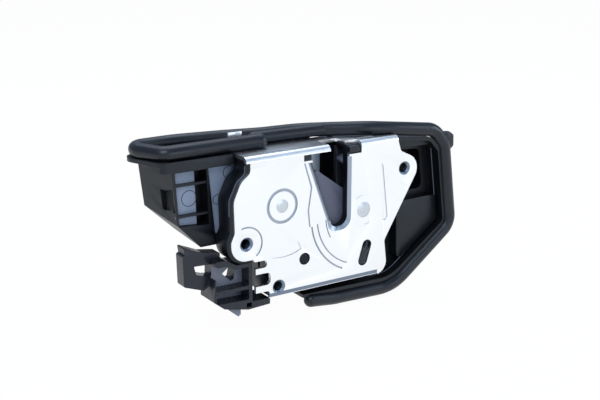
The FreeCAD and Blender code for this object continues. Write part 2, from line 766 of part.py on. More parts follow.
def deck_back(depth_shift):
    """The deck's rear edge, which follows the bead's back strand."""
    return [(64.0, 20.5, 3), (46.0, 28.0, 20), (24.0, 30.0, 20), (4.0, 35.2, 20), (-20.0, 39.6, 20)]


def make_main_housing():
    """Main moulding: gear case, left box with the connector bay, top deck and the right tray."""
    piece = Piece("main_housing")
    deck = SIZE.deck_bottom.value
    front = [
        (-32.2, deck + 0.5, 0),
        (-29.6, 10.4, 0),
        (-17.4, -2.4, 0),
        (-4.0, -2.4, 0),
        (-4.0, deck + 0.5, 0),
    ]
    back = [
        (-38.4, deck + 0.5, 0),
        (-35.9, 16.4, 0),
        (-20.0, 1.5, 0),
        (-4.0, -2.4, 0),
        (-4.0, deck + 0.5, 0),
    ]
    piece.loft([(front, WEB_Y), (back, END_Y)])
    piece.pad([CASE_OUTLINE], WEB_Y, COVER_Y - WEB_Y)
    piece.pad([rim_outline(0)], SIZE.rim_front, CASE_Y - SIZE.rim_front)
    left_end = [(-49.6, 38.6, 7), (-38.6, 11.3, 5)]
    deck_low = deck_back(0) + left_end + [(0.3, 11.3, 0), (0.3, WEB_Y + 0.2, 0), (64.0, WEB_Y + 0.2, 0)]
    piece.pad([deck_low], SIZE.deck_bottom, DECK_LOW_TOP - SIZE.deck_bottom, "top")
    deck_high = deck_back(0) + left_end + [(-0.6, 11.3, 0), (-0.6, 26.2, 0), (46.6, 22.8, 0), (62.0, 17.0, 0)]
    high_from = DECK_LOW_TOP - 0.5
    seat = SIZE.seal_top - SIZE.seal_radius - 0.05
    piece.pad([deck_high], high_from, seat - high_from, "top")
    tray = rim_outline(SIZE.rim_wall.value)
    tray[0] = (20.0, tray[0][1], 0)
    tray[6] = (20.0, tray[6][1], 0)
    piece.pocket([tray], SIZE.rim_front - 1.0, WEB_Y - SIZE.rim_front + 1.0)
    latch_space = grown(LATCH_OUTLINE, SIZE.free_gap.value)
    piece.pocket([latch_space], SIZE.rim_front - 1.0, WEB_Y - SIZE.rim_front + 1.0)
    inside = grown(CASE_OUTLINE, -SIZE.case_wall.value)
    piece.pocket([inside], CASE_Y, SIZE.case_depth + SIZE.cover_thick)
    piece.pad([pocket_box(2.0)], CASE_Y, length(MOUTH_POCKET_DEEP + 2.0))
    piece.pocket([pocket_box(0.0)], WEB_Y, length(MOUTH_POCKET_DEEP + 2.0))
    bay_front = WEB_Y + SIZE.recess_depth + 2.0
    bay_back = END_Y - 2.2
    bay = [(-29.5, bay_front, 1), (-7.0, bay_front, 1), (-7.0, bay_back, 1), (-32.0, bay_back, 1)]
    piece.pocket([bay], SIZE.bay_floor, length(40.0), "top")
    bay_mouth = [(-31.0, 20.6, 2), (-5.0, 20.6, 2), (-5.0, bay_back, 1), (-33.0, bay_back, 1)]
    piece.pocket([bay_mouth], SIZE.deck_bottom + 1.6, length(20.0), "top")
    recess = [(98.5, 7.5, 3), (120.5, 7.5, 3), (118.0, 30.0, 3), (98.5, 31.5, 3)]
    piece.pad([grown(recess, 2.0)], WEB_Y, length(12.0))
    piece.pocket([recess], WEB_Y - 1.0, length(11.0))
    raised = [(99.4, -25.5, 2), (103.0, -25.6, 2), (124.6, -10.0, 3), (124.0, 4.2, 3), (98.6, 4.2, 5)]
    piece.pad([raised], length(9.0), WEB_Y - 9.0)
    recess_one = [(-30.2, 36.8, 0.6), (-28.6, 9.6, 0.6), (-12.4, 8.6, 0.6), (-13.2, 36.8, 0.6)]
    recess_two = [(-10.4, 36.8, 0.6), (-5.4, 0.6, 0.6), (-1.6, 0.6, 0.6), (-1.6, 36.8, 0.6)]
    piece.pocket([recess_one], WEB_Y, SIZE.recess_depth)
    piece.pocket([recess_two], WEB_Y, SIZE.recess_depth)
    for height in (14.6, 30.2):
        piece.pad([box(-30.4, -12.0, height - 0.6, height + 0.6)], WEB_Y + 0.6, SIZE.recess_depth)
    side_window = [(15.8, 18.8, 0.5), (23.3, 16.8, 0.5), (23.3, 26.9, 0.5), (15.8, 29.0, 0.5)]
    piece.pocket([side_window], length(-40.0), length(13.0), "side")
    posts = [(WHEEL, COVER_Y), (LOCK_PIVOT, CASE_Y + 8.0), (INSIDE_PIVOT, CASE_Y + 6.0)]
    posts.append((EMERGENCY_PIVOT, CASE_Y + 3.0))
    for centre, end in posts:
        piece.pad([circle(centre[0], centre[1], SIZE.pivot_radius)], CASE_Y, end - CASE_Y)
    for x, z in COVER_SCREWS:
        piece.pad([circle(x, z, 3.4)], CASE_Y, SIZE.case_depth)
        piece.pocket([circle(x, z, SIZE.screw_radius)], CASE_Y, SIZE.case_depth)
    shelf_y = SIZE.motor_y - SIZE.motor_width * 0.5
    shelf_z = SIZE.motor_z - SIZE.motor_height * 0.5
    shelf = box(-4.5, 16.0, shelf_z - 2.0, shelf_z - 0.1)
    piece.pad([shelf], shelf_y, COVER_Y - shelf_y)
    roof = box(1.0, 18.0, SIZE.motor_z + SIZE.motor_height * 0.5 + 0.1, SIZE.deck_bottom)
    piece.pad([roof], CASE_Y, SIZE.case_depth)
    piece.pocket([peg_window()], WEB_Y, SIZE.web_thick)
    piece.pocket([emergency_window()], WEB_Y, SIZE.web_thick)
    pawl_hole = circle(PAWL[0], PAWL[1], SIZE.pawl_rivet_radius + 0.1)
    catch_hole = circle(CATCH[0], CATCH[1], SIZE.catch_rivet_radius + 1.9)
    piece.pocket([pawl_hole, catch_hole], WEB_Y, SIZE.web_thick)
    lever_exit = box(-1.0, 15.0, -14.0, -3.6)
    piece.pocket([lever_exit], CASE_Y + 3.0, length(4.0))
    key_hole = circle(SIZE.key_x, SIZE.key_y, SIZE.key_radius + SIZE.running_gap)
    piece.pocket([key_hole], length(-34.0), length(4.0), "top")
    wire_slot = box(-12.0, -2.0, 16.0, 22.0)
    piece.pocket([wire_slot], COVER_Y - 2.6, length(1.9))
    return piece


def make_rear_cover():
    """Flat cover over the gear case, stiffened by ribs, held by screws."""
    piece = Piece("rear_cover")
    outline = [
        (-3.9, -3.6, 2),
        (14.5, -10.0, 4),
        (16.5, -33.0, 2),
        (84.0, -33.0, 6),
        (92.0, -18.0, 6),
        (92.0, SIZE.deck_bottom - 0.2, 1),
        (-3.9, SIZE.deck_bottom - 0.2, 1),
    ]
    piece.pad([outline], COVER_Y, SIZE.cover_thick)
    for x, z in COVER_SCREWS:
        piece.pocket([circle(x, z, SIZE.screw_radius + 0.2)], COVER_Y, SIZE.cover_thick)
    for height in (-24.0, 8.0, 24.0):
        piece.pad([box(24.0, 82.0, height - 0.9, height + 0.9, 0.4)], END_Y, length(1.6))
    return piece


def bead(points, radius):
    """A round rubber bead along straight runs joined by tangent arcs, with rounded ends."""
    spots = [FreeCAD.Vector(*[float(value) for value in point[:3]]) for point in points]
    edges = []
    last = spots[0]
    for index in range(1, len(points) - 1):
        start, middle, end = corner_arc(
            spots[index - 1], spots[index], spots[index + 1], float(points[index][3])
        )
        edges.append(Part.LineSegment(last, start).toShape())
        edges.append(Part.Arc(start, middle, end).toShape())
        last = end
    edges.append(Part.LineSegment(last, spots[-1]).toShape())
    path = Part.Wire(edges)
    section = Part.Wire(Part.makeCircle(float(radius), spots[0], spots[1] - spots[0]))
    tube = path.makePipeShell([section], True, True)
    for end in (spots[0], spots[-1]):
        tube = tube.fuse(Part.makeSphere(float(radius), end))
    return tube


def make_seal():
    """Rubber bead round the tray's rim, over the deck and round the connector bay."""
    radius = SIZE.seal_radius
    level = SIZE.seal_top.value
    depth = SIZE.seal_front.value
    rim = grown(rim_outline(0), radius.value + 0.1)
    seal_start = 41.5
    share = (seal_start - rim[0][0]) / (rim[1][0] - rim[0][0])
    points = [(seal_start, depth, rim[0][1] + share * (rim[1][1] - rim[0][1]), 0)]
    for corner in rim[1:5]:
        points.append((corner[0], depth, corner[1], corner[2]))
    points.append((93.0, depth + 1.0, level - 1.5, 30.0))
    for x, y, rounding in BACK_STRAND + LEFT_LOOP:
        points.append((x, y, level, rounding))
    points.append((STRAND_TIP[0], STRAND_TIP[1], level, 0))
    seal = bead(points, radius)
    inner = [(17.0, 21.4, level, 0), (40.0, 20.4, level, 30.0), (60.0, 18.6, level, 0)]
    seal = seal.fuse(bead(inner, radius * 0.85)).removeSplitter()
    return plain_piece("perimeter_seal", seal)


def gear_outline(centre, teeth, module, first=0, last=None, thin=0.16, root=1.2):
    """Straight-flanked gear teeth; tooth number 0 is centred at the top and they run anticlockwise."""
    count = int(float(teeth))
    module = float(module)
    pitch = 360.0 / count
    reach = module * count / 2
    quarter = pitch / 4 - math.degrees(thin / reach)
    corners = []
    for tooth in range(first, count if last is None else last + 1):
        middle = 90 + tooth * pitch
        for radius, offset in (
            (reach - root * module, -quarter * 1.55),
            (reach + module * 0.85, -quarter * 0.55),
            (reach + module * 0.85, quarter * 0.55),
            (reach - root * module, quarter * 1.55),
        ):
            corners.append(polar(centre, radius, middle + offset))
    return corners


def make_motor():
    """Flat-sided motor can with its end boss, and the rotor shaft with its worm."""
    can = Piece("motor_can")
    half_z = SIZE.motor_height.value / 2
    half_y = SIZE.motor_width.value / 2
    y, z = SIZE.motor_y.value, SIZE.motor_z.value
    profile = [
        (y - half_y, z - half_z + 4.2, 3),
        (y - half_y, z + half_z - 4.2, 3),
        (y - half_y + 4.2, z + half_z, 3),
        (y + half_y - 4.2, z + half_z, 3),
        (y + half_y, z + half_z - 4.2, 3),
        (y + half_y, z - half_z + 4.2, 3),
        (y + half_y - 4.2, z - half_z, 3),
        (y - half_y + 4.2, z - half_z, 3),
    ][::-1]
    can.pad([profile], SIZE.motor_x, SIZE.motor_length, "side")
    boss = circle(SIZE.motor_y, SIZE.motor_z, 3.0)
    can.pad([boss], SIZE.motor_x + SIZE.motor_length, length(1.6), "side")
    bore = circle(SIZE.motor_y, SIZE.motor_z, SIZE.shaft_radius + SIZE.running_gap)
    can.pocket([bore], SIZE.motor_x + 6.0, SIZE.motor_length, "side")
    end = SIZE.motor_x + SIZE.motor_length
    root = SIZE.worm_radius - SIZE.gear_module * 1.15
    pitch = math.pi * SIZE.gear_module.value
    turns = 4
    start_x = float(WHEEL[0]) - 2 * pitch
    shaft = Part.makeCylinder(
        SIZE.shaft_radius.value, start_x + 14.5 - end.value + 17.5, vector(end.value - 17.5, y, z), vector(1, 0, 0)
    )
    core = Part.makeCylinder(root.value, turns * pitch + 1.4, vector(start_x - 0.7, y, z), vector(1, 0, 0))
    helix = Part.makeHelix(pitch, turns * pitch, root.value)
    outer = SIZE.worm_radius.value + 0.75 * SIZE.gear_module.value
    base_half = 0.36 * pitch / 2 + 0.18
    tip_half = 0.2
    low = root.value - 0.3
    tooth = Part.makePolygon(
        [
            vector(low, 0, -base_half),
            vector(outer, 0, -tip_half),
            vector(outer, 0, tip_half),
            vector(low, 0, base_half),
            vector(low, 0, -base_half),
        ]
    )
    ridge = Part.Wire(helix).makePipeShell([tooth], True, True)
    ridge.rotate(vector(0, 0, 0), vector(0, 1, 0), 90)
    ridge.translate(vector(start_x, y, z))
    worm = shaft.fuse([core, ridge]).removeSplitter()
    plain_piece("motor_worm", worm)
    return can


def make_worm_wheel():
    """Worm wheel with the pinion that drives the lock lever."""
    piece = Piece("worm_wheel")
    start = SIZE.motor_y - SIZE.wheel_width * 0.5
    half_pitch = 180.0 / SIZE.wheel_teeth.value
    rim = [turned(point, WHEEL, half_pitch) for point in gear_outline(WHEEL, SIZE.wheel_teeth, SIZE.gear_module)]
    piece.pad([rim], start, SIZE.wheel_width)
    pinion = gear_outline(WHEEL, SIZE.pinion_teeth, SIZE.pinion_module)
    pinion = [turned(point, WHEEL, 180.0 + 180.0 / SIZE.pinion_teeth.value) for point in pinion]
    pinion_y = CASE_Y + 3.9
    piece.pad([pinion], pinion_y, start - pinion_y)
    bore = circle(WHEEL[0], WHEEL[1], SIZE.pivot_radius + SIZE.running_gap)
    piece.pocket([bore], pinion_y, start - pinion_y + SIZE.wheel_width)
    return piece


def lever(name, outline, at, pivot, radius):
    """A flat steel lever with a pivot hole."""
    piece = Piece(name)
    piece.pad([outline], at, SIZE.lever_thick)
    piece.pocket([circle(pivot[0], pivot[1], radius + SIZE.running_gap)], at, SIZE.lever_thick)
    return piece


def make_levers():
    """Release, inside, lock and emergency levers."""
    px, pz = float(PAWL[0]), float(PAWL[1])
    near_y = CASE_Y + SIZE.free_gap
    peg_x = px - SIZE.peg_reach.value
    release_shape = [
        (peg_x - 3.8, pz - 3.6, 3.2),
        (px - 3.2, pz - 5.6, 3.0),
        (px - 2.4, pz - 20.0, 3.0),
        (px - 2.2, pz - 25.0, 2.6),
        (px + 3.4, pz - 25.0, 2.6),
        (px + 3.2, pz - 18.0, 4.0),
        (px + 6.6, pz - 4.0, 5.0),
        (px + 5.0, pz + 6.4, 5.0),
        (px - 4.0, pz + 6.4, 4.0),
        (peg_x - 3.8, pz + 3.6, 3.2),
    ]
    release = lever("release_lever", release_shape, near_y, PAWL, SIZE.pawl_rivet_radius)
    release.pocket([circle(peg_x, pz, SIZE.peg_radius + 0.15)], near_y, SIZE.lever_thick)
    release.pocket([circle(px + 0.6, pz - 22.0, 1.6)], near_y, SIZE.lever_thick)
    inside_y = CASE_Y + 3.5
    ix, iz = INSIDE_PIVOT
    inside_shape = [
        (ix - 8.6, iz + 1.6, 1.4),
        (ix - 4.2, iz + 0.8, 2.0),
        (ix - 5.0, iz - 12.0, 4.0),
        (ix - 7.0, iz - 22.6, 2.2),
        (ix - 1.6, iz - 23.4, 2.2),
        (ix + 1.0, iz - 12.0, 6.0),
        (ix + 4.6, iz - 3.0, 4.0),
        (ix + 3.8, iz + 4.6, 4.0),
        (ix - 3.0, iz + 5.4, 3.0),
        (ix - 8.6, iz + 5.6, 1.6),
    ]
    inside = lever("inside_lever", inside_shape, inside_y, INSIDE_PIVOT, SIZE.pivot_radius)
    inside.pad([circle(ix - 6.4, iz + 3.0, 1.3)], near_y, inside_y - near_y)
    inside.pocket([circle(ix - 4.2, iz - 19.6, 1.5)], inside_y, SIZE.lever_thick)
    lock_y = CASE_Y + 4.3
    sector = gear_outline(LOCK_PIVOT, SIZE.sector_teeth, SIZE.pinion_module, -2, 2)
    lx, lz = float(LOCK_PIVOT[0]), float(LOCK_PIVOT[1])
    tail = [
        (lx - 7.0, lz + 1.0, 0),
        (lx - 4.0, lz - 6.0, 0),
        (lx - 2.6, lz - 15.0, 0),
        (lx + 2.6, lz - 15.0, 0),
        (lx + 5.4, lz - 2.0, 0),
        (lx + 5.6, lz + 6.0, 0),
    ]
    lock = lever("lock_lever", sector + tail, lock_y, LOCK_PIVOT, SIZE.pivot_radius)
    hub_y = near_y + SIZE.lever_thick + 0.3
    lock.pad([circle(lx, lz, SIZE.pivot_radius + 2.0)], hub_y, lock_y - hub_y)
    hub_hole = circle(lx, lz, SIZE.pivot_radius + SIZE.running_gap)
    lock.pocket([hub_hole], hub_y, lock_y - hub_y)
    ex, ez = EMERGENCY_PIVOT
    tx, tz = EMERGENCY_TIP
    emergency_shape = [
        (ex - 4.4, ez - 4.4, 4.2),
        (ex + 4.0, ez - 5.0, 3.0),
        (tx - 4.0, tz - 5.6, 2.0),
        (tx + 1.8, tz - 5.9, 2.0),
        (tx + 3.6, tz + 3.4, 2.0),
        (tx - 4.0, tz + 4.4, 4.0),
        (ex + 4.4, ez + 4.4, 4.2),
        (ex - 4.4, ez + 4.4, 4.2),
    ]
    emergency = lever("emergency_lever", emergency_shape, near_y, EMERGENCY_PIVOT, SIZE.pivot_radius)
    tip = slot(72.0, -16.3, 70.5, -21.0, 5.1)
    emergency.pad([tip], length(0.5), near_y - 0.5)
    return release


def make_key_drive():
    """Driver for the key cylinder's paddle, in the wall on the outboard side."""
    piece = Piece("key_drive")
    low = -38.0
    wall_inside = -31.0
    piece.pad([circle(SIZE.key_x, SIZE.key_y, SIZE.key_radius)], low, length(wall_inside + 1.6 - low), "top")
    piece.pad([circle(SIZE.key_x, SIZE.key_y, SIZE.key_radius + 1.4)], wall_inside + 0.1, length(1.5), "top")
    kx, ky = float(SIZE.key_x), float(SIZE.key_y)
    arm = [(kx - 10.6, ky - 1.8, 1.7), (kx, ky - 3.0, 0.5), (kx, ky + 3.0, 0.5), (kx - 10.6, ky + 1.8, 1.7)]
    piece.pad([arm], wall_inside + 0.1, length(1.5), "top")
    piece.pocket([box(kx - 4.2, kx + 4.2, ky - 1.1, ky + 1.1)], low, length(4.5), "top")
    piece.pocket([box(kx - 1.1, kx + 1.1, ky - 4.2, ky + 4.2)], low, length(4.5), "top")
    return piece


def make_connector():
    """Connector socket standing in the bay, its pins, and the lead frame in the case."""
    socket = Piece("connector_socket")
    front = WEB_Y.value + SIZE.recess_depth.value + 2.3
    back = END_Y.value - 2.5
    floor = SIZE.bay_floor
    tall = length(20.0)
    outer = box(-28.0, -8.0, front, back, 1.2)
    socket.pad([outer], floor, tall, "top")
    socket.pocket([box(-26.8, -9.2, front + 1.2, back - 1.2, 0.8)], floor + 3.0, tall - 3.0, "top")
    pins = Piece("connector_pins")
    middle = (front + back) / 2
    rows = []
    for index in range(7):
        x = -24.0 + index * 2.0
        rows.append(box(x - 0.3, x + 0.3, middle - 1.3, middle - 0.7))
        rows.append(box(x - 0.3, x + 0.3, middle + 0.7, middle + 1.3))
    for contour in rows:
        socket.pocket([contour], floor, length(3.0), "top")
    shapes = []
    for contour in rows:
        x, y = contour[0][0], contour[0][1]
        shapes.append(Part.makeBox(0.6, 0.6, 12.0, vector(x, y, floor.value)))
    DOC.removeObject(pins.body.Name)
    PIECES.remove(pins.body)
    plain_piece("connector_pins", Part.makeCompound(shapes))
    frame = Piece("lead_frame")
    strip = [
        (-2.6, 9.0, 0.5),
        (24.0, 9.0, 0.5),
        (24.0, -26.0, 1.0),
        (76.0, -26.0, 1.0),
        (76.0, 30.0, 1.0),
        (68.0, 30.0, 1.0),
        (68.0, -4.0, 1.0),
        (50.0, -8.0, 1.0),
        (30.0, -8.0, 1.0),
        (28.0, 13.0, 0.5),
        (-2.6, 13.0, 0.5),
    ]
    frame.pad([strip], COVER_Y - 1.5, length(1.5))
    return socket


def make_switches():
    """Microswitches that read the catch and the lock lever."""
    catch_switch = Piece("catch_switch")
    start = SIZE.plate_thick + SIZE.front_wall
    catch_switch.pad([box(75.2, 80.0, -22.4, -11.2, 0.4)], start, length(6.4))
    catch_switch.pad([box(76.8, 78.4, -11.3, -9.6, 0.2)], start + 2.0, length(2.4))
    lock_switch = Piece("lock_switch")
    lock_switch.pad([box(44.0, 54.0, -30.8, -25.0, 0.4)], CASE_Y, length(6.4))
    lock_switch.pad([box(43.0, 44.1, -28.6, -27.0, 0.2)], CASE_Y + 2.0, length(2.4))
    return catch_switch


def make_cable_bracket():
    """Moulded bracket at the lower left that clips the handle cable's end."""
    piece = Piece("cable_bracket")
    body = [
        (-16.0, -7.0, 0.5),
        (-17.4, -27.6, 0.5),
        (-11.6, -32.2, 0.5),
        (2.0, -35.2, 0.5),
        (14.6, -34.6, 0.5),
        (14.6, -31.4, 0.5),
        (4.4, -31.4, 0.3),
        (4.4, -10.6, 0.3),
        (-4.6, -10.6, 0.5),
        (-10.6, -7.0, 0.5),
    ]
    piece.pad([body], 2.4, length(14.0))
    pentagon = [(-4.6, -13.0, 0.2), (-8.8, -16.2, 0.2), (-4.2, -20.8, 0.2), (-2.6, -20.2, 0.2), (-1.2, -14.0, 0.2)]
    upper = [(-15.4, -10.2, 0.5), (-16.2, -22.4, 0.5), (2.4, -22.4, 0.5), (2.4, -12.6, 0.5), (-5.4, -12.6, 0.5), (-9.6, -10.2, 0.5)]
    lower = [(-15.8, -24.2, 0.5), (-15.8, -29.2, 0.5), (2.4, -29.8, 0.5), (2.4, -24.2, 0.5)]
    piece.pocket([upper], 2.4, length(7.0))
    piece.pocket([lower], 2.4, length(8.0))
    piece.pocket([pentagon], 2.4, length(20.0))
    frame = [(-31.0, -2.4, 1), (-30.6, -18.6, 1), (-20.0, -22.4, 1), (-15.6, -20.0, 0.5), (-15.6, -3.6, 0.5)]
    piece.pad([frame], 8.0, length(7.0))
    window = [(-25.0, -9.0, 0.5), (-23.8, -13.4, 0.5), (-15.0, -16.6, 0.3), (-14.6, -9.6, 0.3)]
    piece.pocket([window], 2.0, length(20.0))
    arm = [(-30.4, 1.6, 0.5), (-29.6, -3.6, 0.5), (-10.6, -8.0, 0.5), (-10.6, -4.4, 0.5), (-20.0, -2.8, 0.5)]
    piece.pad([arm], 8.0, length(6.9))
    foot = [(-7.6, -31.0, 0.3), (-7.0, -35.0, 0.3), (-3.0, -38.4, 0.3), (-1.6, -37.4, 0.3), (-1.6, -31.0, 0.3)]
    piece.pad([foot], 4.0, length(6.0))
    low_window = box(1.0, 4.0, -34.0, -31.6)
    piece.pocket([low_window], 2.0, length(20.0))
    return piece


def make_mouth_guide():
    """Grey guide at the open end of the mouth that centres the striker."""
    piece = Piece("mouth_guide")
    shape = [(61.3, 38.0, 0.4), (67.8, 38.0, 0.4), (67.8, 39.6, 1.0), (66.0, 41.2, 0.8), (61.3, 41.2, 0.4)]
    piece.pad([shape], 0.3, SIZE.plate_thick - 0.35)
    return piece


def make_screws():
    """Rear cover screws and the screw that holds the plate to the latch housing."""
    shapes = []
    for x, z in COVER_SCREWS:
        head = Part.makeCylinder(SIZE.screw_head.value, 1.8, vector(x, END_Y.value, z), vector(0, 1, 0))
        shank = Part.makeCylinder(
            SIZE.screw_radius.value, SIZE.cover_thick.value + 9.0, vector(x, END_Y.value - SIZE.cover_thick.value - 9.0, z), vector(0, 1, 0)
        )
        shapes.append(head.fuse(shank).removeSplitter())
    plain_piece("cover_screws", Part.makeCompound(shapes))
    plate = Piece("plate_screw")
    x, z = PLATE_SCREW
    plate.pad([circle(x, z, SIZE.screw_head)], 0.4, SIZE.plate_thick - 0.4)
    plate.pad([circle(x, z, SIZE.screw_radius)], SIZE.plate_thick, length(10.0))
    return plate


BUILDERS = [
    make_face_plate,
    make_latch_housing,
    make_back_plate,
    make_rivets,
    make_catch,
    make_pawl,
    make_springs,
    make_bumper,
    make_main_housing,
    make_rear_cover,
    make_seal,
    make_motor,
    make_worm_wheel,
    make_levers,
    make_key_drive,
    make_connector,
    make_switches,
    make_cable_bracket,
    make_mouth_guide,
    make_screws,
]


def check_features():
    """Stops where an object failed or a cut removed nothing."""
    for made in DOC.Objects:
        if "Invalid" in made.State or "Error" in made.State:
            raise RuntimeError(f"{made.Name} failed: {made.State}")
        if made.TypeId == "PartDesign::Pocket":
            before = made.BaseFeature.Shape.Volume
            if before - made.Shape.Volume < 1e-4:
                raise RuntimeError(f"{made.Name} cuts nothing")
    for made in PIECES:
        if made.Shape.isNull() or not made.Shape.isValid():
            raise RuntimeError(f"{made.Label} has no valid shape")


def write_parts():
    """Writes one STEP file for each sub-part."""
    os.makedirs("parts", exist_ok=True)
    for made in PIECES:
        made.Shape.exportStep(os.path.join("parts", f"{made.Label}.step"))


for build in BUILDERS:
    build()
DOC.recompute()
check_features()
write_parts()
for made in PIECES:
    print(made.Label, len(made.Shape.Solids), round(made.Shape.Volume, 1))
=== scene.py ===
"""Scene of a car door lock: the CAD frame dressed with real finishes, edges and pressed details."""

import math

import bmesh
import bpy
from mathutils import Matrix, Vector


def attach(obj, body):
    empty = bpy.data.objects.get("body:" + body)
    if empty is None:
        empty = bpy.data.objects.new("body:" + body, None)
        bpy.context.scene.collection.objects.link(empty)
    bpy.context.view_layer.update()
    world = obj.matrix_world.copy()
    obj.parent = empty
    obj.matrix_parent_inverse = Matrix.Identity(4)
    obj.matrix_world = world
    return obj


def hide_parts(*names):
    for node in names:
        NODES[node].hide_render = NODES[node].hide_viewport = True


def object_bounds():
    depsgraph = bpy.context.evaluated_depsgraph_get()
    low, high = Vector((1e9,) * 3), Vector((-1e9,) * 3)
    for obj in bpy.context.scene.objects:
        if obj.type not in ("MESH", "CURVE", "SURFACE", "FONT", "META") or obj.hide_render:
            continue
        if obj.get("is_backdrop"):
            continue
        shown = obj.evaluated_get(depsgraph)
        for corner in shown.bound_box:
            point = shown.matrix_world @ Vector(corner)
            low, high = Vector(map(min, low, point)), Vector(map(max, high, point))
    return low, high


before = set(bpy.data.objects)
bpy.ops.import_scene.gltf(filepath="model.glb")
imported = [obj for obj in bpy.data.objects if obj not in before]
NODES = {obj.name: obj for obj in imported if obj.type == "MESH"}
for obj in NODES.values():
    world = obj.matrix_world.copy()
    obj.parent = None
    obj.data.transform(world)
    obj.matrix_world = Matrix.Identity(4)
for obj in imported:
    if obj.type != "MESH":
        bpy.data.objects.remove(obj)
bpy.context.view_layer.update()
MM = 0.001
FIXED = "lock_frame"
# Sockets of the Mix node that carry colours
MIX_FIRST, MIX_SECOND, MIX_COLOUR = 6, 7, 2
# Tint of the glints on black plastic and rubber, which pick up a cool sky
COOL = (0.85, 0.92, 1.0, 1.0)
COOLER = (0.8, 0.89, 1.0, 1.0)


def linear(code):
    """A colour written as sRGB hex, turned to linear light."""
    parts = [int(code[index : index + 2], 16) / 255 for index in (1, 3, 5)]
    bent = [part / 12.92 if part <= 0.04045 else ((part + 0.055) / 1.055) ** 2.4 for part in parts]
    return (*bent, 1.0)


def add(tree, kind, links=(), **settings):
    """One shader node with its settings, wired to what feeds it."""
    made = tree.nodes.new(kind)
    for name, value in settings.items():
        if hasattr(made, name):
            setattr(made, name, value)
        else:
            made.inputs[name.replace("_", " ")].default_value = value
    for socket, source in links:
        tree.links.new(source, made.inputs[socket])
    return made


def finish(name, colour, metallic, rough, grain=None, blotch=None, **sockets):
    """A surface of one colour and gloss.

    `grain` holds its size and height in mm; `blotch` holds a size in mm, a swing in roughness and a
    second tone."""
    material = bpy.data.materials.new(name)
    material.use_nodes = True
    tree = material.node_tree
    tree.nodes.clear()
    shader = add(
        tree, "ShaderNodeBsdfPrincipled", Metallic=metallic, Roughness=rough, Base_Color=linear(colour)
    )
    for socket, value in sockets.items():
        shader.inputs[socket.replace("_", " ")].default_value = value
    place = add(tree, "ShaderNodeTexCoord")
    if blotch:
        size, swing, tone = blotch
        cloud = add(
            tree, "ShaderNodeTexNoise", [("Vector", place.outputs["Object"])],
            Scale=1 / (size * MM), Detail=4.0,
        )
        spread = add(
            tree, "ShaderNodeMapRange", [("Value", cloud.outputs["Fac"])],
            From_Min=0.3, From_Max=0.7, To_Min=rough - swing, To_Max=rough + swing,
        )
        tree.links.new(spread.outputs["Result"], shader.inputs["Roughness"])
        if tone != colour:
            mix = add(tree, "ShaderNodeMix", [("Factor", cloud.outputs["Fac"])], data_type="RGBA")
            mix.inputs[MIX_FIRST].default_value = linear(colour)
            mix.inputs[MIX_SECOND].default_value = linear(tone)
            tree.links.new(mix.outputs[MIX_COLOUR], shader.inputs["Base Color"])
    if grain:
        size, height = grain
        noise = add(
            tree, "ShaderNodeTexNoise", [("Vector", place.outputs["Object"])],
            Scale=1 / (size * MM), Detail=3.0,
        )
        bump = add(
            tree, "ShaderNodeBump", [("Height", noise.outputs["Fac"])], Strength=1.0, Distance=height * MM
        )
        tree.links.new(bump.outputs["Normal"], shader.inputs["Normal"])
    out = add(tree, "ShaderNodeOutputMaterial", [("Surface", shader.outputs["BSDF"])])
    out.is_active_output = True
    return material


# Bright zinc electroplate on pressed sheet: a cool white metal with faint clouds of haze
ZINC = finish("zinc plated sheet", "#FFFFFF", 1.0, 0.34, grain=(1.6, 0.009), blotch=(34.0, 0.05, "#EEF5FA"))
# The same zinc, darker and bluer: the back plate's own duller zinc, and painted shade on the floors and
# flanks of the pressed steps and on the mouth's rolled-in rim
ZINC_DULL_AND_SHADE = finish("zinc plate, dull and in painted shade", "#A4AFBD", 1.0, 0.38, grain=(0.7, 0.012))
# Painted shade on the zinc: the plate's lower rolled edge, which lies in its own shade, and the lips and
# bores of the fixing holes
ZINC_EDGE_SHADE = finish("zinc plate, rolled edge", "#7D8A9C", 1.0, 0.42, grain=(0.9, 0.01))
# Cut threads deep in the bores, coloured dark
THREAD = finish("oily thread steel", "#2A3038", 1.0, 0.5)
# Cold formed rivet steel, plated with the plate: slightly darker and tighter
RIVET = finish(
    "zinc plated rivet steel", "#D9E0E6", 1.0, 0.32, grain=(0.7, 0.012), blotch=(2.2, 0.06, "#BFC9D2")
)
# Black oxidised steel of the small screw
OXIDE = finish("black oxidised steel", "#2B2E35", 1.0, 0.34, grain=(0.5, 0.008))
# Hardened and oiled steel of fork and pawl: grey, softly reflecting
FORK = finish("hardened steel", "#8F9395", 1.0, 0.36, grain=(0.9, 0.008))
# Glass-filled nylon moulding: near black with a fine spark-eroded skin
NYLON = finish(
    "moulded black nylon", "#08090C", 0.0, 0.4,
    grain=(0.45, 0.018), blotch=(14.0, 0.05, "#0B0C10"), Specular_Tint=COOLER,
)
# The same nylon made pale: painted highlight on the left box's recess floors, standing for the lamps'
# reflection in them
NYLON_HIGHLIT = finish(
    "black nylon in painted highlight", "#7D8798", 0.0, 0.5, grain=(0.35, 0.03), blotch=(9.0, 0.08, "#8C96A8")
)
# Painted shade: near-black matt nylon for deep pockets of the moulding, where no lamp reaches
NYLON_SHADE = finish("black nylon in painted shade", "#020203", 0.0, 0.8)
# The bracket is the same nylon from a glossier tool
BRACKET = finish(
    "glossy black nylon", "#14151B", 0.0, 0.28,
    grain=(0.6, 0.014), blotch=(6.0, 0.06, "#1C1E25"), Specular_Tint=COOL,
)
# Painted highlight on its pocket floors: a paler copy of the same nylon, standing for the lamps' reflection
BRACKET_FLOOR_HIGHLIGHT = finish(
    "bracket floors in painted highlight", "#6A6D78", 0.0, 0.3,
    grain=(0.6, 0.014), blotch=(6.0, 0.06, "#747783"),
)
# Overmoulded polyurethane skin on the fork: slate grey and slick
SKIN = finish(
    "overmoulded polyurethane", "#4E515E", 0.0, 0.4, grain=(0.9, 0.03), blotch=(3.5, 0.08, "#5C5F6E")
)
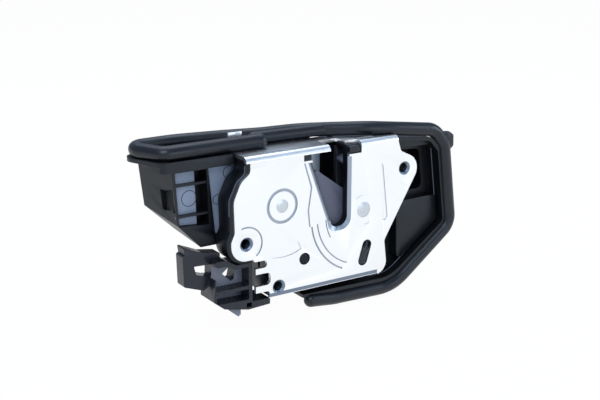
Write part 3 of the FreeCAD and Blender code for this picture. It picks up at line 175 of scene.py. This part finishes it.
# Sponge rubber bead: soft black with a closed, slightly shiny skin
RUBBER = finish(
    "sponge rubber", "#0D0E13", 0.0, 0.36,
    grain=(1.1, 0.05), blotch=(9.0, 0.08, "#13141A"), Specular_Tint=COOL,
)
# Painted highlights: thin light lines standing for lit edges of the black mouldings
EDGE_HIGHLIGHT = finish("painted edge highlight", "#454955", 0.0, 0.4)
# Acetal gears: milky white and waxy
ACETAL = finish("acetal", "#D8D2C2", 0.0, 0.35, grain=(0.6, 0.004))
# Grey acetal of the switches
GREY = finish("grey acetal", "#7E8286", 0.0, 0.4, grain=(0.6, 0.006))
# Springs, motor and contacts, which show only through the openings
WIRE = finish("drawn spring wire", "#8A8D90", 1.0, 0.28)
CAN = finish("rolled motor steel", "#B4B6B6", 1.0, 0.3, grain=(1.2, 0.006))
BRASS = finish("drawn brass", "#C7A65A", 1.0, 0.25)
TIN = finish("tinned copper strip", "#C9C8C2", 1.0, 0.3)


def coat(piece, material):
    """The whole piece takes one finish."""
    piece.data.materials.clear()
    piece.data.materials.append(material)


def keep(mesh, name, body, material):
    """A finished bmesh becomes a piece that rides on a body."""
    data = bpy.data.meshes.new(name)
    mesh.to_mesh(data)
    mesh.free()
    piece = bpy.data.objects.new(name, data)
    bpy.context.scene.collection.objects.link(piece)
    coat(piece, material)
    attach(piece, body)
    return piece


def shade(mesh, angle):
    """Smooth faces with edges sharper than the angle kept crisp."""
    for face in mesh.faces:
        face.smooth = True
    for edge in mesh.edges:
        if len(edge.link_faces) == 2 and edge.calc_face_angle(0.0) > math.radians(angle):
            edge.smooth = False


def bevel(mesh, edges, width, segments):
    """Rounds the given edges of a bmesh."""
    bmesh.ops.bevel(
        mesh, geom=edges, offset=width * MM, offset_type="OFFSET", affect="EDGES", segments=segments,
        profile=0.5, material=-1, clamp_overlap=True, loop_slide=True,
        miter_outer="SHARP", miter_inner="SHARP",
    )


def loop_points(corners, steps=6):
    """A closed outline of corners (x, z, rounding) in mm as points, its corners rounded by arcs."""
    points = []
    count = len(corners)
    for index, (x, z, rounding) in enumerate(corners):
        here = Vector((x, z))
        if rounding <= 0:
            points.append(here)
            continue
        one = (Vector(corners[index - 1][:2]) - here).normalized()
        two = (Vector(corners[(index + 1) % count][:2]) - here).normalized()
        turn = math.pi - one.angle(two)
        centre = here + (one + two).normalized() * math.hypot(rounding, rounding * math.tan(turn / 2))
        start = here + one * rounding * math.tan(turn / 2) - centre
        end = here + two * rounding * math.tan(turn / 2) - centre
        sweep = start.angle_signed(end)
        for step in range(steps + 1):
            points.append(centre + rotated(start, -sweep * step / steps))
    return points


def rotated(arrow, angle):
    """A flat vector turned anticlockwise."""
    cos, sin = math.cos(angle), math.sin(angle)
    return Vector((arrow.x * cos - arrow.y * sin, arrow.x * sin + arrow.y * cos))


def polar(centre, radius, degrees):
    """The (x, z) of a point at a radius and angle from a centre."""
    angle = math.radians(degrees)
    return (centre[0] + radius * math.cos(angle), centre[1] + radius * math.sin(angle))


def block(mesh, near, front, back, far=None):
    """Adds a closed block between two depths to a bmesh, from points of its near and far outlines."""
    far = far or near
    one = [mesh.verts.new((point[0] * MM, front * MM, point[1] * MM)) for point in near]
    two = [mesh.verts.new((point[0] * MM, back * MM, point[1] * MM)) for point in far]
    count = len(one)
    mesh.faces.new(one)
    mesh.faces.new(two[::-1])
    for index in range(count):
        again = (index + 1) % count
        mesh.faces.new((one[again], one[index], two[index], two[again]))
    return mesh


def band(centre, inner, outer, start, end, steps=28):
    """Points of a band that bends round a centre between two angles."""
    angles = [start + (end - start) * step / steps for step in range(steps + 1)]
    there = [polar(centre, outer, angle) for angle in angles]
    return there + [polar(centre, inner, angle) for angle in reversed(angles)]


def carve(mesh, tool):
    """Takes the closed blocks of the tool's bmesh out of the mesh."""
    bmesh.ops.recalc_face_normals(tool, faces=tool.faces)
    pair = []
    for source in (mesh, tool):
        data = bpy.data.meshes.new("carving")
        source.to_mesh(data)
        pair.append(bpy.data.objects.new("carving", data))
        bpy.context.scene.collection.objects.link(pair[-1])
    body, knife = pair
    cut = body.modifiers.new("cut", "BOOLEAN")
    cut.operation = "DIFFERENCE"
    cut.solver = "MANIFOLD"
    cut.object = knife
    result = bpy.data.meshes.new_from_object(body.evaluated_get(bpy.context.evaluated_depsgraph_get()))
    mesh.clear()
    mesh.from_mesh(result)
    tool.free()
    for piece in pair:
        bpy.data.objects.remove(piece)


# Points closer than this, in mm, are one point; faces within this many degrees are one plane
SAME_POINT = 0.002
FLAT = 0.6


def rounded(node, body, material, width, angle=25.0, segments=2, first=(), tool=()):
    """A copy of a CAD node with its sharp edges rounded, which stands for the node.

    `first` holds (test, width) pairs: edges whose middle in mm passes the test are rounded wider.
    `tool` holds bmeshes of blocks that are carved out before, one after the other."""
    mesh = bmesh.new()
    mesh.from_mesh(NODES[node].data)
    bmesh.ops.remove_doubles(mesh, verts=mesh.verts, dist=SAME_POINT * MM)
    for part in tool:
        carve(mesh, part)
    bmesh.ops.dissolve_limit(
        mesh, angle_limit=math.radians(FLAT), use_dissolve_boundaries=False,
        verts=mesh.verts, edges=mesh.edges,
    )
    for test, wide in first:
        edges = sharp_edges(mesh, angle)
        bevel(mesh, [edge for edge in edges if test(middle_of(edge) / MM)], wide, 4)
    bevel(mesh, sharp_edges(mesh, angle), width, segments)
    bmesh.ops.remove_doubles(mesh, verts=mesh.verts, dist=SAME_POINT / 2 * MM)
    shade(mesh, 32.0)
    piece = keep(mesh, node + "_rounded", body, material)
    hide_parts(node)
    return piece


def middle_of(edge):
    """The middle of an edge."""
    return (edge.verts[0].co + edge.verts[1].co) / 2


def sharp_edges(mesh, angle):
    """Edges between two faces that meet at more than the angle."""
    return [
        edge
        for edge in mesh.edges
        if len(edge.link_faces) == 2 and edge.calc_face_angle(0.0) > math.radians(angle)
    ]


def repaint(piece, material, test, corners=False):
    """Faces whose middle (mm), or any corner, passes the test with their normal take another finish."""
    piece.data.materials.append(material)
    index = len(piece.data.materials) - 1
    for face in piece.data.polygons:
        spots = [piece.data.vertices[number].co for number in face.vertices] if corners else [face.center]
        if any(test(spot / MM, face.normal) for spot in spots):
            face.material_index = index


def arc_path(points, steps=8):
    """Corners (x, y, z, rounding) in mm as a line of points with its corners rounded."""
    spots = [Vector(point[:3]) for point in points]
    line = [spots[0]]
    for index in range(1, len(points) - 1):
        here = spots[index]
        one = (spots[index - 1] - here).normalized()
        two = (spots[index + 1] - here).normalized()
        turn = math.pi - one.angle(two)
        back = points[index][3] * math.tan(turn / 2)
        inward = (one + two).normalized()
        centre = here + inward * math.hypot(points[index][3], back)
        start = here + one * back - centre
        end = here + two * back - centre
        for step in range(steps + 1):
            bent = start.slerp(end, step / steps) * points[index][3] if turn > 0.01 else here - centre
            line.append(centre + bent)
    line.append(spots[-1])
    return line


def swept(name, points, radius, body, material, sides=10):
    """A thin round bead along rounded corners, closed at both ends."""
    line = arc_path(points)
    mesh = bmesh.new()
    rings = []
    up = Vector((0, 1, 0))
    for index, spot in enumerate(line):
        ahead = (line[min(index + 1, len(line) - 1)] - line[max(index - 1, 0)]).normalized()
        side = ahead.cross(up).normalized()
        over = side.cross(ahead).normalized()
        ring = []
        for step in range(sides):
            angle = math.tau * step / sides
            off = side * math.cos(angle) + over * math.sin(angle)
            ring.append(mesh.verts.new((spot + off * radius) * MM))
        rings.append(ring)
        up = over
    for before, after in zip(rings, rings[1:]):
        for step in range(sides):
            again = (step + 1) % sides
            mesh.faces.new((before[step], before[again], after[again], after[step]))
    mesh.faces.new(rings[0][::-1])
    mesh.faces.new(rings[-1])
    bmesh.ops.recalc_face_normals(mesh, faces=mesh.faces)
    shade(mesh, 50.0)
    return keep(mesh, name, body, material)


def prism(name, outline, front, back, body, material, edge=0.15):
    """A flat block of an (x, z) outline in mm between two depths, its edges rounded."""
    mesh = bmesh.new()
    corners = [mesh.verts.new((x * MM, front * MM, z * MM)) for x, z in outline]
    face = mesh.faces.new(corners)
    grown = bmesh.ops.extrude_face_region(mesh, geom=[face])
    moved = [item for item in grown["geom"] if isinstance(item, bmesh.types.BMVert)]
    bmesh.ops.translate(mesh, verts=moved, vec=(0, (back - front) * MM, 0))
    bmesh.ops.recalc_face_normals(mesh, faces=mesh.faces)
    if edge:
        bevel(mesh, list(mesh.edges), edge, 2)
    shade(mesh, 35.0)
    return keep(mesh, name, body, material)


def turned_ring(name, centre, profile, body, material, segments=48):
    """A full turn of a half section (radius, depth) in mm about a front-to-back axis."""
    mesh = bmesh.new()
    ring = [mesh.verts.new((radius * MM, depth * MM, 0)) for radius, depth in profile]
    edges = [mesh.edges.new((one, two)) for one, two in zip(ring, ring[1:])]
    bmesh.ops.spin(
        mesh, geom=ring + edges, cent=(0, 0, 0), axis=(0, 1, 0), angle=math.tau, steps=segments,
        use_merge=True,
    )
    bmesh.ops.remove_doubles(mesh, verts=mesh.verts, dist=SAME_POINT / 2 * MM)
    bmesh.ops.translate(mesh, verts=mesh.verts, vec=(centre[0] * MM, 0, centre[1] * MM))
    bmesh.ops.recalc_face_normals(mesh, faces=mesh.faces)
    shade(mesh, 25.0)
    return keep(mesh, name, body, material)


# Nodes that keep their CAD shape
BARE = {
    "pawl": FORK,
    "catch_spring": WIRE,
    "pawl_spring": WIRE,
    "release_spring": WIRE,
    "striker_bumper": RUBBER,
    "motor_can": CAN,
    "motor_worm": BRASS,
    "worm_wheel": ACETAL,
    "release_lever": ZINC,
    "inside_lever": ZINC,
    "lock_lever": ZINC,
    "key_drive": ACETAL,
    "connector_socket": NYLON,
    "connector_pins": TIN,
    "lead_frame": TIN,
    "catch_switch": GREY,
    "lock_switch": GREY,
    "cover_screws": RIVET,
    "catch_core": FORK,
}
for name, material in BARE.items():
    coat(NODES[name], material)

# Centres (x, z) on the plate in mm: the three fixings, the pawl's pivot and the catch's
FIXINGS = {"left": (0.0, 0.0), "right": (96.5, 25.1), "low": (18.4, -25.5)}
PAWL = (20.6, 16.4)
CATCH = (70.3, 6.5)


def away(spot, centre):
    """Distance across the plate from a centre."""
    return math.hypot(spot.x - centre[0], spot.z - centre[1])


def side_edge(spot):
    """The plate's front outline on the right."""
    return spot.y < 0.05 and spot.x > 84.5 and away(spot, FIXINGS["right"]) > 7.0


def below_front(spot):
    """Inside the shallow pressed steps, but not on the plate's front."""
    return 0.02 <= spot.y <= 0.6


def pressed(spot, normal):
    """Floors and flanks of the ring round the pawl rivet and the step round the left ear, which take
    painted shade.
    """
    ring = 6.7 < away(spot, PAWL) < 9.1
    ear = 8.1 < away(spot, FIXINGS["left"]) < 9.3
    return below_front(spot) and (ring or ear or pressed_arc(spot))


def pressed_arc(spot):
    """The thin clearance lines about the catch pivot."""
    reach = away(spot, CATCH)
    return spot.x < 70.0 and (28.4 < reach < 29.5 or 31.8 < reach < 33.1 or 23.2 < reach < 24.2)


def flank(spot, normal):
    """Flanks of the kidney below the pawl rivet and of the long bead, which take painted shade."""
    kidney = 21.9 < away(spot, PAWL) < 27.2 and spot.z < -4.0
    bead = 77.0 < spot.x < 87.0 and -3.0 < spot.z < 31.0
    return below_front(spot) and normal.y > -0.95 and (kidney or bead)


def shaded_mouth_rim(spot, normal):
    """The mouth's rolled-in rim, which takes painted shade."""
    opening = 33.0 < spot.x < 63.0 and -3.0 < spot.z < 36.4
    return 0.02 < spot.y < 1.7 and opening and normal.y < -0.05


def rolled_low(spot, normal):
    """The plate's rolled lower edge, which takes painted shade."""
    return spot.z < -28.0 and spot.y < 1.7 and normal.z < -0.12


def fixing_lip(spot, normal):
    """The conical lips and bores of the three fixing holes, which take painted shade."""
    near = any(away(spot, centre) < LIP_RADIUS + 0.05 for centre in FIXINGS.values())
    return spot.y < 4.9 and near and normal.y > -0.97


# What the press tool did to the plate, in mm: (centre, inner, outer, first and last angle) of each
# bent step, then the outlines of the straight ones
PRESSED = 0.4
PROUD = 0.5
JUST_PROUD = 0.01
LIP_RADIUS, BORE_RADIUS, LIP_DEPTH = 3.7, 2.5, 1.1
steps_tool = bmesh.new()
for centre, inner, outer, start, end in (
    (PAWL, 22.3, 26.8, -103.0, -65.0),
    (CATCH, 32.0, 32.9, 187.0, 246.0),
    (CATCH, 28.6, 29.3, 186.0, 249.0),
    (CATCH, 23.4, 24.0, 184.0, 209.0),
    (CATCH, 7.7, 8.4, 62.0, 150.0),
    (CATCH, 7.7, 8.4, 230.0, 300.0),
    (FIXINGS["left"], 8.3, 9.1, -52.0, 108.0),
):
    block(steps_tool, band(centre, inner, outer, start, end), -PROUD, PRESSED)
KINK = [
    (36.5, 2.6, 0.3), (37.4, 2.6, 0.3), (36.4, 11.4, 3), (38.4, 23.4, 3),
    (34.2, 36.4, 0.3), (33.4, 36.2, 0.3), (37.4, 23.2, 3), (35.5, 11.4, 3),
]
BEAD = [(77.8, 30.0, 2.2), (82.4, 30.0, 2.2), (86.2, -1.4, 2.2), (81.8, -1.4, 2.2)]
CREASE = [(93.4, 17.8, 0), (98.8, 14.0, 0), (99.2, 14.6, 0), (93.8, 18.4, 0)]
for corners in (KINK, BEAD, CREASE):
    block(steps_tool, loop_points(corners), -PROUD, PRESSED)
MOUTH_FRONT = [(62.4, 36.2, 0), (35.8, 36.2, 0), (47.2, 4.6, 3.6), (49.0, -2.2, 4.4), (62.4, -2.0, 6.2)]
MOUTH_BACK = [(60.95, 36.2, 0), (39.0, 36.2, 0), (50.0, 5.2, 3.0), (51.5, -0.3, 3.4), (60.95, -0.3, 4.9)]
MOUTH_DEPTH = 1.5
mouth_tool = block(
    bmesh.new(), loop_points(MOUTH_FRONT), -JUST_PROUD, MOUTH_DEPTH, loop_points(MOUTH_BACK)
)
for centre in FIXINGS.values():
    lip = [polar(centre, LIP_RADIUS, angle) for angle in range(0, 360, 10)]
    bore = [polar(centre, BORE_RADIUS, angle) for angle in range(0, 360, 10)]
    block(mouth_tool, lip, -JUST_PROUD, LIP_DEPTH, bore)
LOW_FRONT = [(12.0, -31.6), (80.0, -31.6), (80.0, -28.2), (12.0, -28.2)]
LOW_BACK = [(12.0, -31.6), (80.0, -31.6), (80.0, -30.6), (12.0, -30.6)]
LOW_DEPTH = 1.0
block(steps_tool, LOW_FRONT, -JUST_PROUD, LOW_DEPTH, LOW_BACK)
plate = rounded(
    "face_plate", FIXED, ZINC, 0.2, tool=[steps_tool, mouth_tool], first=[(side_edge, 0.5)]
)
# Painted shade: darker zinc on the floors and flanks of the pressed steps and on the mouth's rolled-in rim
repaint(plate, ZINC_DULL_AND_SHADE, pressed, corners=True)
repaint(plate, ZINC_DULL_AND_SHADE, flank)
repaint(plate, ZINC_DULL_AND_SHADE, shaded_mouth_rim)
# Painted shade: darker zinc on the rolled lower edge and on the lips and bores of the fixing holes
repaint(plate, ZINC_EDGE_SHADE, rolled_low)
repaint(plate, ZINC_EDGE_SHADE, fixing_lip)

rounded("latch_housing", FIXED, NYLON, 0.3)

# The left box: its recess floors in painted highlight, its side window with a sheet of painted shade behind
# it and the thin end of the top deck
BOX_FRONT = 12.0
STRIP_ONE = [(-30.0, 36.6), (-28.3, 9.8), (-17.8, 9.0), (-18.6, 36.6)]
STRIP_TWO = [(-12.2, 37.0), (-9.2, 3.0), (-5.0, 3.0), (-5.0, 22.0), (3.6, 30.0), (3.6, 37.0)]
RECESS_TWO = [(-10.5, 36.9), (-5.6, 0.5), (-1.5, 0.5), (-1.5, 36.9)]
WINDOW_BACK = [(-30.9, 16.9), (-30.2, 16.9), (-30.2, 28.6), (-30.9, 28.6)]
DECK_END = [(-60.0, 37.0), (-38.9, 37.0), (-38.9, 41.4), (-60.0, 41.4)]
SIDE_WINDOW = [(-40.0, 17.4), (-31.0, 17.4), (-31.0, 27.6), (-40.0, 27.6)]
FLOOR_ONE, FLOOR_TWO, CAD_FLOOR = 17.6, 16.2, 23.4
housing_tool = block(bmesh.new(), STRIP_TWO, BOX_FRONT, FLOOR_TWO)
block(housing_tool, DECK_END, 8.0, 60.0)
block(housing_tool, SIDE_WINDOW, 14.5, 24.6)
housing = rounded("main_housing", FIXED, NYLON, 0.35, tool=[housing_tool])
# Painted shade: a near-black sheet behind the side window
prism("side_window_back", WINDOW_BACK, 16.0, 23.2, FIXED, NYLON_SHADE, 0)
# Painted highlight: pale floors in the two recesses of the left box
prism("strip_one_floor", STRIP_ONE, FLOOR_ONE, CAD_FLOOR + 0.05, FIXED, NYLON_HIGHLIT, 0.2)
prism("strip_two_floor", RECESS_TWO, FLOOR_TWO, CAD_FLOOR, FIXED, NYLON_HIGHLIT, 0)

# Witness rings of the ejector pins: (name, x, z, depth of the floor, radius)
EJECTOR_LINE = 0.3
for name, x, z, depth, radius in (
    ("one", -21.8, 22.7, FLOOR_ONE, 4.1),
    ("two", -6.9, 20.2, FLOOR_TWO, 2.6),
    ("three", -0.2, 33.2, FLOOR_TWO, 3.3),
):
    below, over = depth + 0.05, depth - 0.12
    inside = radius - EJECTOR_LINE
    profile = [(radius, below), (radius, over), (inside, over), (inside, below)]
    turned_ring("ejector_" + name, (x, z), profile, FIXED, NYLON)

# The tray on the right: its raised pad and the ledge above it
PAD = [(99.6, -27.2), (102.4, -28.2), (127.6, -10.0), (125.6, 4.2), (101.0, 4.2), (98.9, 1.6)]
prism("tray_pad", PAD, 8.8, 14.8, FIXED, NYLON, 0.5)
LEDGE = [(92.6, 34.0), (121.2, 33.4), (119.6, 36.8), (115.6, 38.6), (92.6, 40.6)]
prism("tray_ledge", LEDGE, 8.0, 14.8, FIXED, NYLON, 0.4)


def highlit_floor(spot, normal):
    """Shallow floors of the left box, which take painted highlight."""
    return normal.y < -0.9 and 15.6 < spot.y < 18.2 and -31.0 < spot.x < 4.0 and 2.0 < spot.z < 38.0


def shaded_floor(spot, normal):
    """The deck inside the seal's loop, and the tray's floor, which take painted shade."""
    deck = normal.z > 0.9 and spot.z > 40.0 and 18.0 < spot.y < 37.0 and -44.0 < spot.x < 1.0
    tray = normal.y < -0.9 and 18.4 < spot.y and spot.x > 90.0
    return deck or tray


# Painted highlight on the left box's shallow floors
repaint(housing, NYLON_HIGHLIT, highlit_floor)
# Painted shade on the deck inside the seal's loop and on the tray's floor
repaint(housing, NYLON_SHADE, shaded_floor)
rounded("rear_cover", FIXED, NYLON, 0.3)
rounded("back_plate", FIXED, ZINC_DULL_AND_SHADE, 0.2)
bracket = rounded("cable_bracket", FIXED, BRACKET, 0.3)
# Painted highlight on the bracket's pocket floors
repaint(
    bracket, BRACKET_FLOOR_HIGHLIGHT, lambda spot, normal: normal.y < -0.9 and spot.x > -14.0 and spot.y > 4.0
)
rounded("catch_cover", "catch", SKIN, 0.25)
rounded("emergency_lever", "emergency", BRACKET, 0.3)
rounded("mouth_guide", FIXED, BRACKET, 0.2)
rounded("pawl_rivet", FIXED, RIVET, 0.25)
rounded("catch_rivet", FIXED, RIVET, 0.3)
rounded("plate_screw", FIXED, OXIDE, 0.5)

# M6 threads, three turns deep in each fixing
THREAD_CREST = 2.2
THREAD_ROOT = 2.52
THREAD_PITCH = 1.0
THREAD_START = 2.0
CREST_FROM, CREST_TO = 0.45, 0.55
for place, centre in FIXINGS.items():
    profile = [(THREAD_ROOT, THREAD_START)]
    for turn in range(3):
        start = THREAD_START + turn * THREAD_PITCH
        profile += [(THREAD_CREST, start + CREST_FROM), (THREAD_CREST, start + CREST_TO)]
        profile.append((THREAD_ROOT, start + THREAD_PITCH))
    turned_ring("thread_" + place, centre, profile, FIXED, THREAD)

# Painted highlights: thin light lines along the lit edges of the latch housing's lip beside the plate and
# of the step inside the tray's rim
LIP_LINE_DEPTH, TRAY_LINE_DEPTH = 1.9, 9.2
LIP_LINE = [(0.6, 39.0, 0), (0.6, 35.2, 3), (-4.2, 31.6, 8), (-8.5, 22.9, 9), (-8.4, 15.0, 0)]
TRAY_LINE = [(121.6, 31.0, 0), (126.9, -9.6, 3), (92.6, -35.4, 20), (80.0, -35.0, 0)]
lip_route = [(x, LIP_LINE_DEPTH, z, rounding) for x, z, rounding in LIP_LINE]
tray_route = [(x, TRAY_LINE_DEPTH, z, rounding) for x, z, rounding in TRAY_LINE]
swept("lip_line", lip_route, 0.28, FIXED, EDGE_HIGHLIGHT)
swept("tray_line", tray_route, 0.3, FIXED, EDGE_HIGHLIGHT)

# The rubber bead: round the tray's rim, back over the deck, round the bay and forward again
SEAL_RADIUS = 3.7
INNER_RADIUS = SEAL_RADIUS * 0.85
SEAL_FRONT = 6.0
SEAL_TOP = 47.15
BEAD_START = (41.5, SEAL_FRONT, -39.6)
RIM_BEAD = [
    (56.0, -41.2, 40), (94.6, -42.2, 26), (133.7, -12.8, 9.8), (127.7, 33.4, 10.8), (120.6, 42.0, 10.8),
]
BACK_STRAND = [
    (79.0, 9.4, 30), (62.0, 17.6, 40), (46.0, 24.4, 40), (24.0, 26.4, 50), (4.0, 31.6, 60),
    (-20.0, 36.0, 40),
]
LEFT_LOOP = [(-46.4, 35.4, 6), (-35.8, 14.9, 5)]
STRAND_TIP = (16.5, 14.6)
INNER_STRAND = [(17.0, 21.4, 0), (40.0, 20.4, 30), (60.0, 18.6, 0)]
route = [(*BEAD_START, 0)]
route += [(x, SEAL_FRONT, z, rounding) for x, z, rounding in RIM_BEAD]
route.append((93.0, SEAL_FRONT + 1.0, SEAL_TOP - 1.5, 30))
route += [(x, y, SEAL_TOP, rounding) for x, y, rounding in BACK_STRAND + LEFT_LOOP]
route.append((STRAND_TIP[0], STRAND_TIP[1], SEAL_TOP, 0))
seal = swept("seal_bead", route, SEAL_RADIUS, FIXED, RUBBER, 20)
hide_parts("perimeter_seal")
inner = [(x, y, SEAL_TOP, rounding) for x, y, rounding in INNER_STRAND]
swept("seal_inner_strand", inner, INNER_RADIUS, FIXED, RUBBER, 16)


def ball(name, centre, radius):
    """A rounded end of the rubber bead."""
    mesh = bmesh.new()
    bmesh.ops.create_uvsphere(mesh, u_segments=20, v_segments=12, radius=radius * MM)
    bmesh.ops.translate(mesh, verts=mesh.verts, vec=[value * MM for value in centre])
    shade(mesh, 50.0)
    return keep(mesh, name, FIXED, RUBBER)


ball("seal_tip", (STRAND_TIP[0], STRAND_TIP[1], SEAL_TOP - 0.3), SEAL_RADIUS * 1.08)
ball("seal_start", BEAD_START, SEAL_RADIUS)
ball("seal_inner_tip", inner[0][:3], INNER_RADIUS)
LIP = [(124.0, 40.5), (131.2, 39.8), (134.0, 37.6), (134.2, 31.6), (129.0, 27.0)]
prism("seal_lip", LIP, 4.7, 7.3, FIXED, RUBBER, 0.6)

# A bright spring tab that stands between the seal's two top strands
TAB = [(3.6, 43.6), (12.2, 43.6), (12.0, 50.7), (4.2, 50.7)]
prism("seal_tab", TAB, 24.0, 25.2, FIXED, ZINC, 0.3)

# Knob of the emergency lever, inside its slot
KNOB = [
    (68.9, -17.6), (70.4, -18.8), (74.6, -16.6), (74.6, -15.0), (73.4, -15.4), (72.2, -14.2), (70.2, -14.8),
]
prism("emergency_knob", KNOB, 0.05, 1.4, "emergency", BRACKET, 0.2)

# Painted shade of the small black screw's six-lobed recess: a thin dark star where the recess is
SCREW = (33.8, -13.6)
STAR_POINTS = 24
star = []
for step in range(STAR_POINTS):
    reach = 1.35 if step % 4 in (1, 2) else 1.0
    turn = math.tau * step / STAR_POINTS
    star.append((SCREW[0] + reach * math.cos(turn), SCREW[1] + reach * math.sin(turn)))
prism("plate_screw_recess", star, 0.36, 0.46, FIXED, NYLON_SHADE, 0)


def stage():
    """Floor, sky, soft lamps and the camera at the photograph's place."""
    scene = bpy.context.scene
    scene.view_settings.view_transform = "Standard"
    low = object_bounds()[0][2]
    mesh = bmesh.new()
    bmesh.ops.create_grid(mesh, x_segments=1, y_segments=1, size=4.0)
    bmesh.ops.translate(mesh, verts=mesh.verts, vec=(0, 0, low - 0.0004))
    data = bpy.data.meshes.new("floor")
    mesh.to_mesh(data)
    mesh.free()
    floor = bpy.data.objects.new("floor", data)
    scene.collection.objects.link(floor)
    paper = bpy.data.materials.new("white paper sweep")
    paper.use_nodes = True
    tree = paper.node_tree
    tree.nodes.clear()
    matt = add(tree, "ShaderNodeBsdfDiffuse", Color=linear("#F4F6F8"))
    glow = add(tree, "ShaderNodeEmission", Color=(1, 1, 1, 1), Strength=1.0)
    path = add(tree, "ShaderNodeLightPath")
    either = add(
        tree, "ShaderNodeMath",
        [(0, path.outputs["Is Camera Ray"]), (1, path.outputs["Is Glossy Ray"])], operation="MAXIMUM",
    )
    share = add(tree, "ShaderNodeMath", [(0, either.outputs[0])], operation="MULTIPLY")
    share.inputs[1].default_value = 0.97
    both = add(
        tree, "ShaderNodeMixShader",
        [(0, share.outputs[0]), (1, matt.outputs[0]), (2, glow.outputs[0])],
    )
    add(tree, "ShaderNodeOutputMaterial", [("Surface", both.outputs[0])])
    coat(floor, paper)
    floor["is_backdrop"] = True

    world = bpy.data.worlds.new("studio")
    scene.world = world
    world.use_nodes = True
    tree = world.node_tree
    tree.nodes.clear()
    path = add(tree, "ShaderNodeLightPath")
    sky = add(tree, "ShaderNodeBackground", Color=(0.62, 0.76, 1.0, 1), Strength=0.55)
    seen = add(tree, "ShaderNodeBackground", Color=(1, 1, 1, 1), Strength=1.0)
    both = add(
        tree, "ShaderNodeMixShader",
        [(0, path.outputs["Is Camera Ray"]), (1, sky.outputs[0]), (2, seen.outputs[0])],
    )
    add(tree, "ShaderNodeOutputWorld", [("Surface", both.outputs[0])])

    centre = Vector((0.042, 0.02, 0.0))
    lamps = [
        ("key", (-0.55, -0.75, 0.85), 0.7, 7.0),
        ("top", (0.15, 0.35, 1.0), 0.9, 6.0),
        ("right", (0.95, -0.5, 0.35), 0.5, 3.0),
        ("front", (0.35, -1.2, 0.1), 0.6, 2.5),
    ]
    for name, place, size, power in lamps:
        lamp = bpy.data.lights.new(name, "AREA")
        lamp.shape = "SQUARE"
        lamp.size = size
        lamp.energy = power
        lamp.color = (0.88, 0.94, 1.0)
        piece = bpy.data.objects.new(name, lamp)
        scene.collection.objects.link(piece)
        piece.location = place
        piece.rotation_euler = (centre - Vector(place)).to_track_quat("-Z", "Y").to_euler()

    lens = bpy.data.cameras.new("camera")
    lens.lens = 66.0
    lens.sensor_width = 36.0
    lens.clip_start = 0.01
    camera = bpy.data.objects.new("camera", lens)
    scene.collection.objects.link(camera)
    ahead = Vector((0.5202, 0.8072, -0.2790)).normalized()
    right = Vector((0.8406, -0.5417, 0.0)).normalized()
    above = right.cross(ahead)
    turn = Matrix((right, above, -ahead)).transposed()
    camera.matrix_world = Matrix.Translation((-0.2541, -0.4424, 0.1708)) @ turn.to_4x4()
    scene.camera = camera


stage()
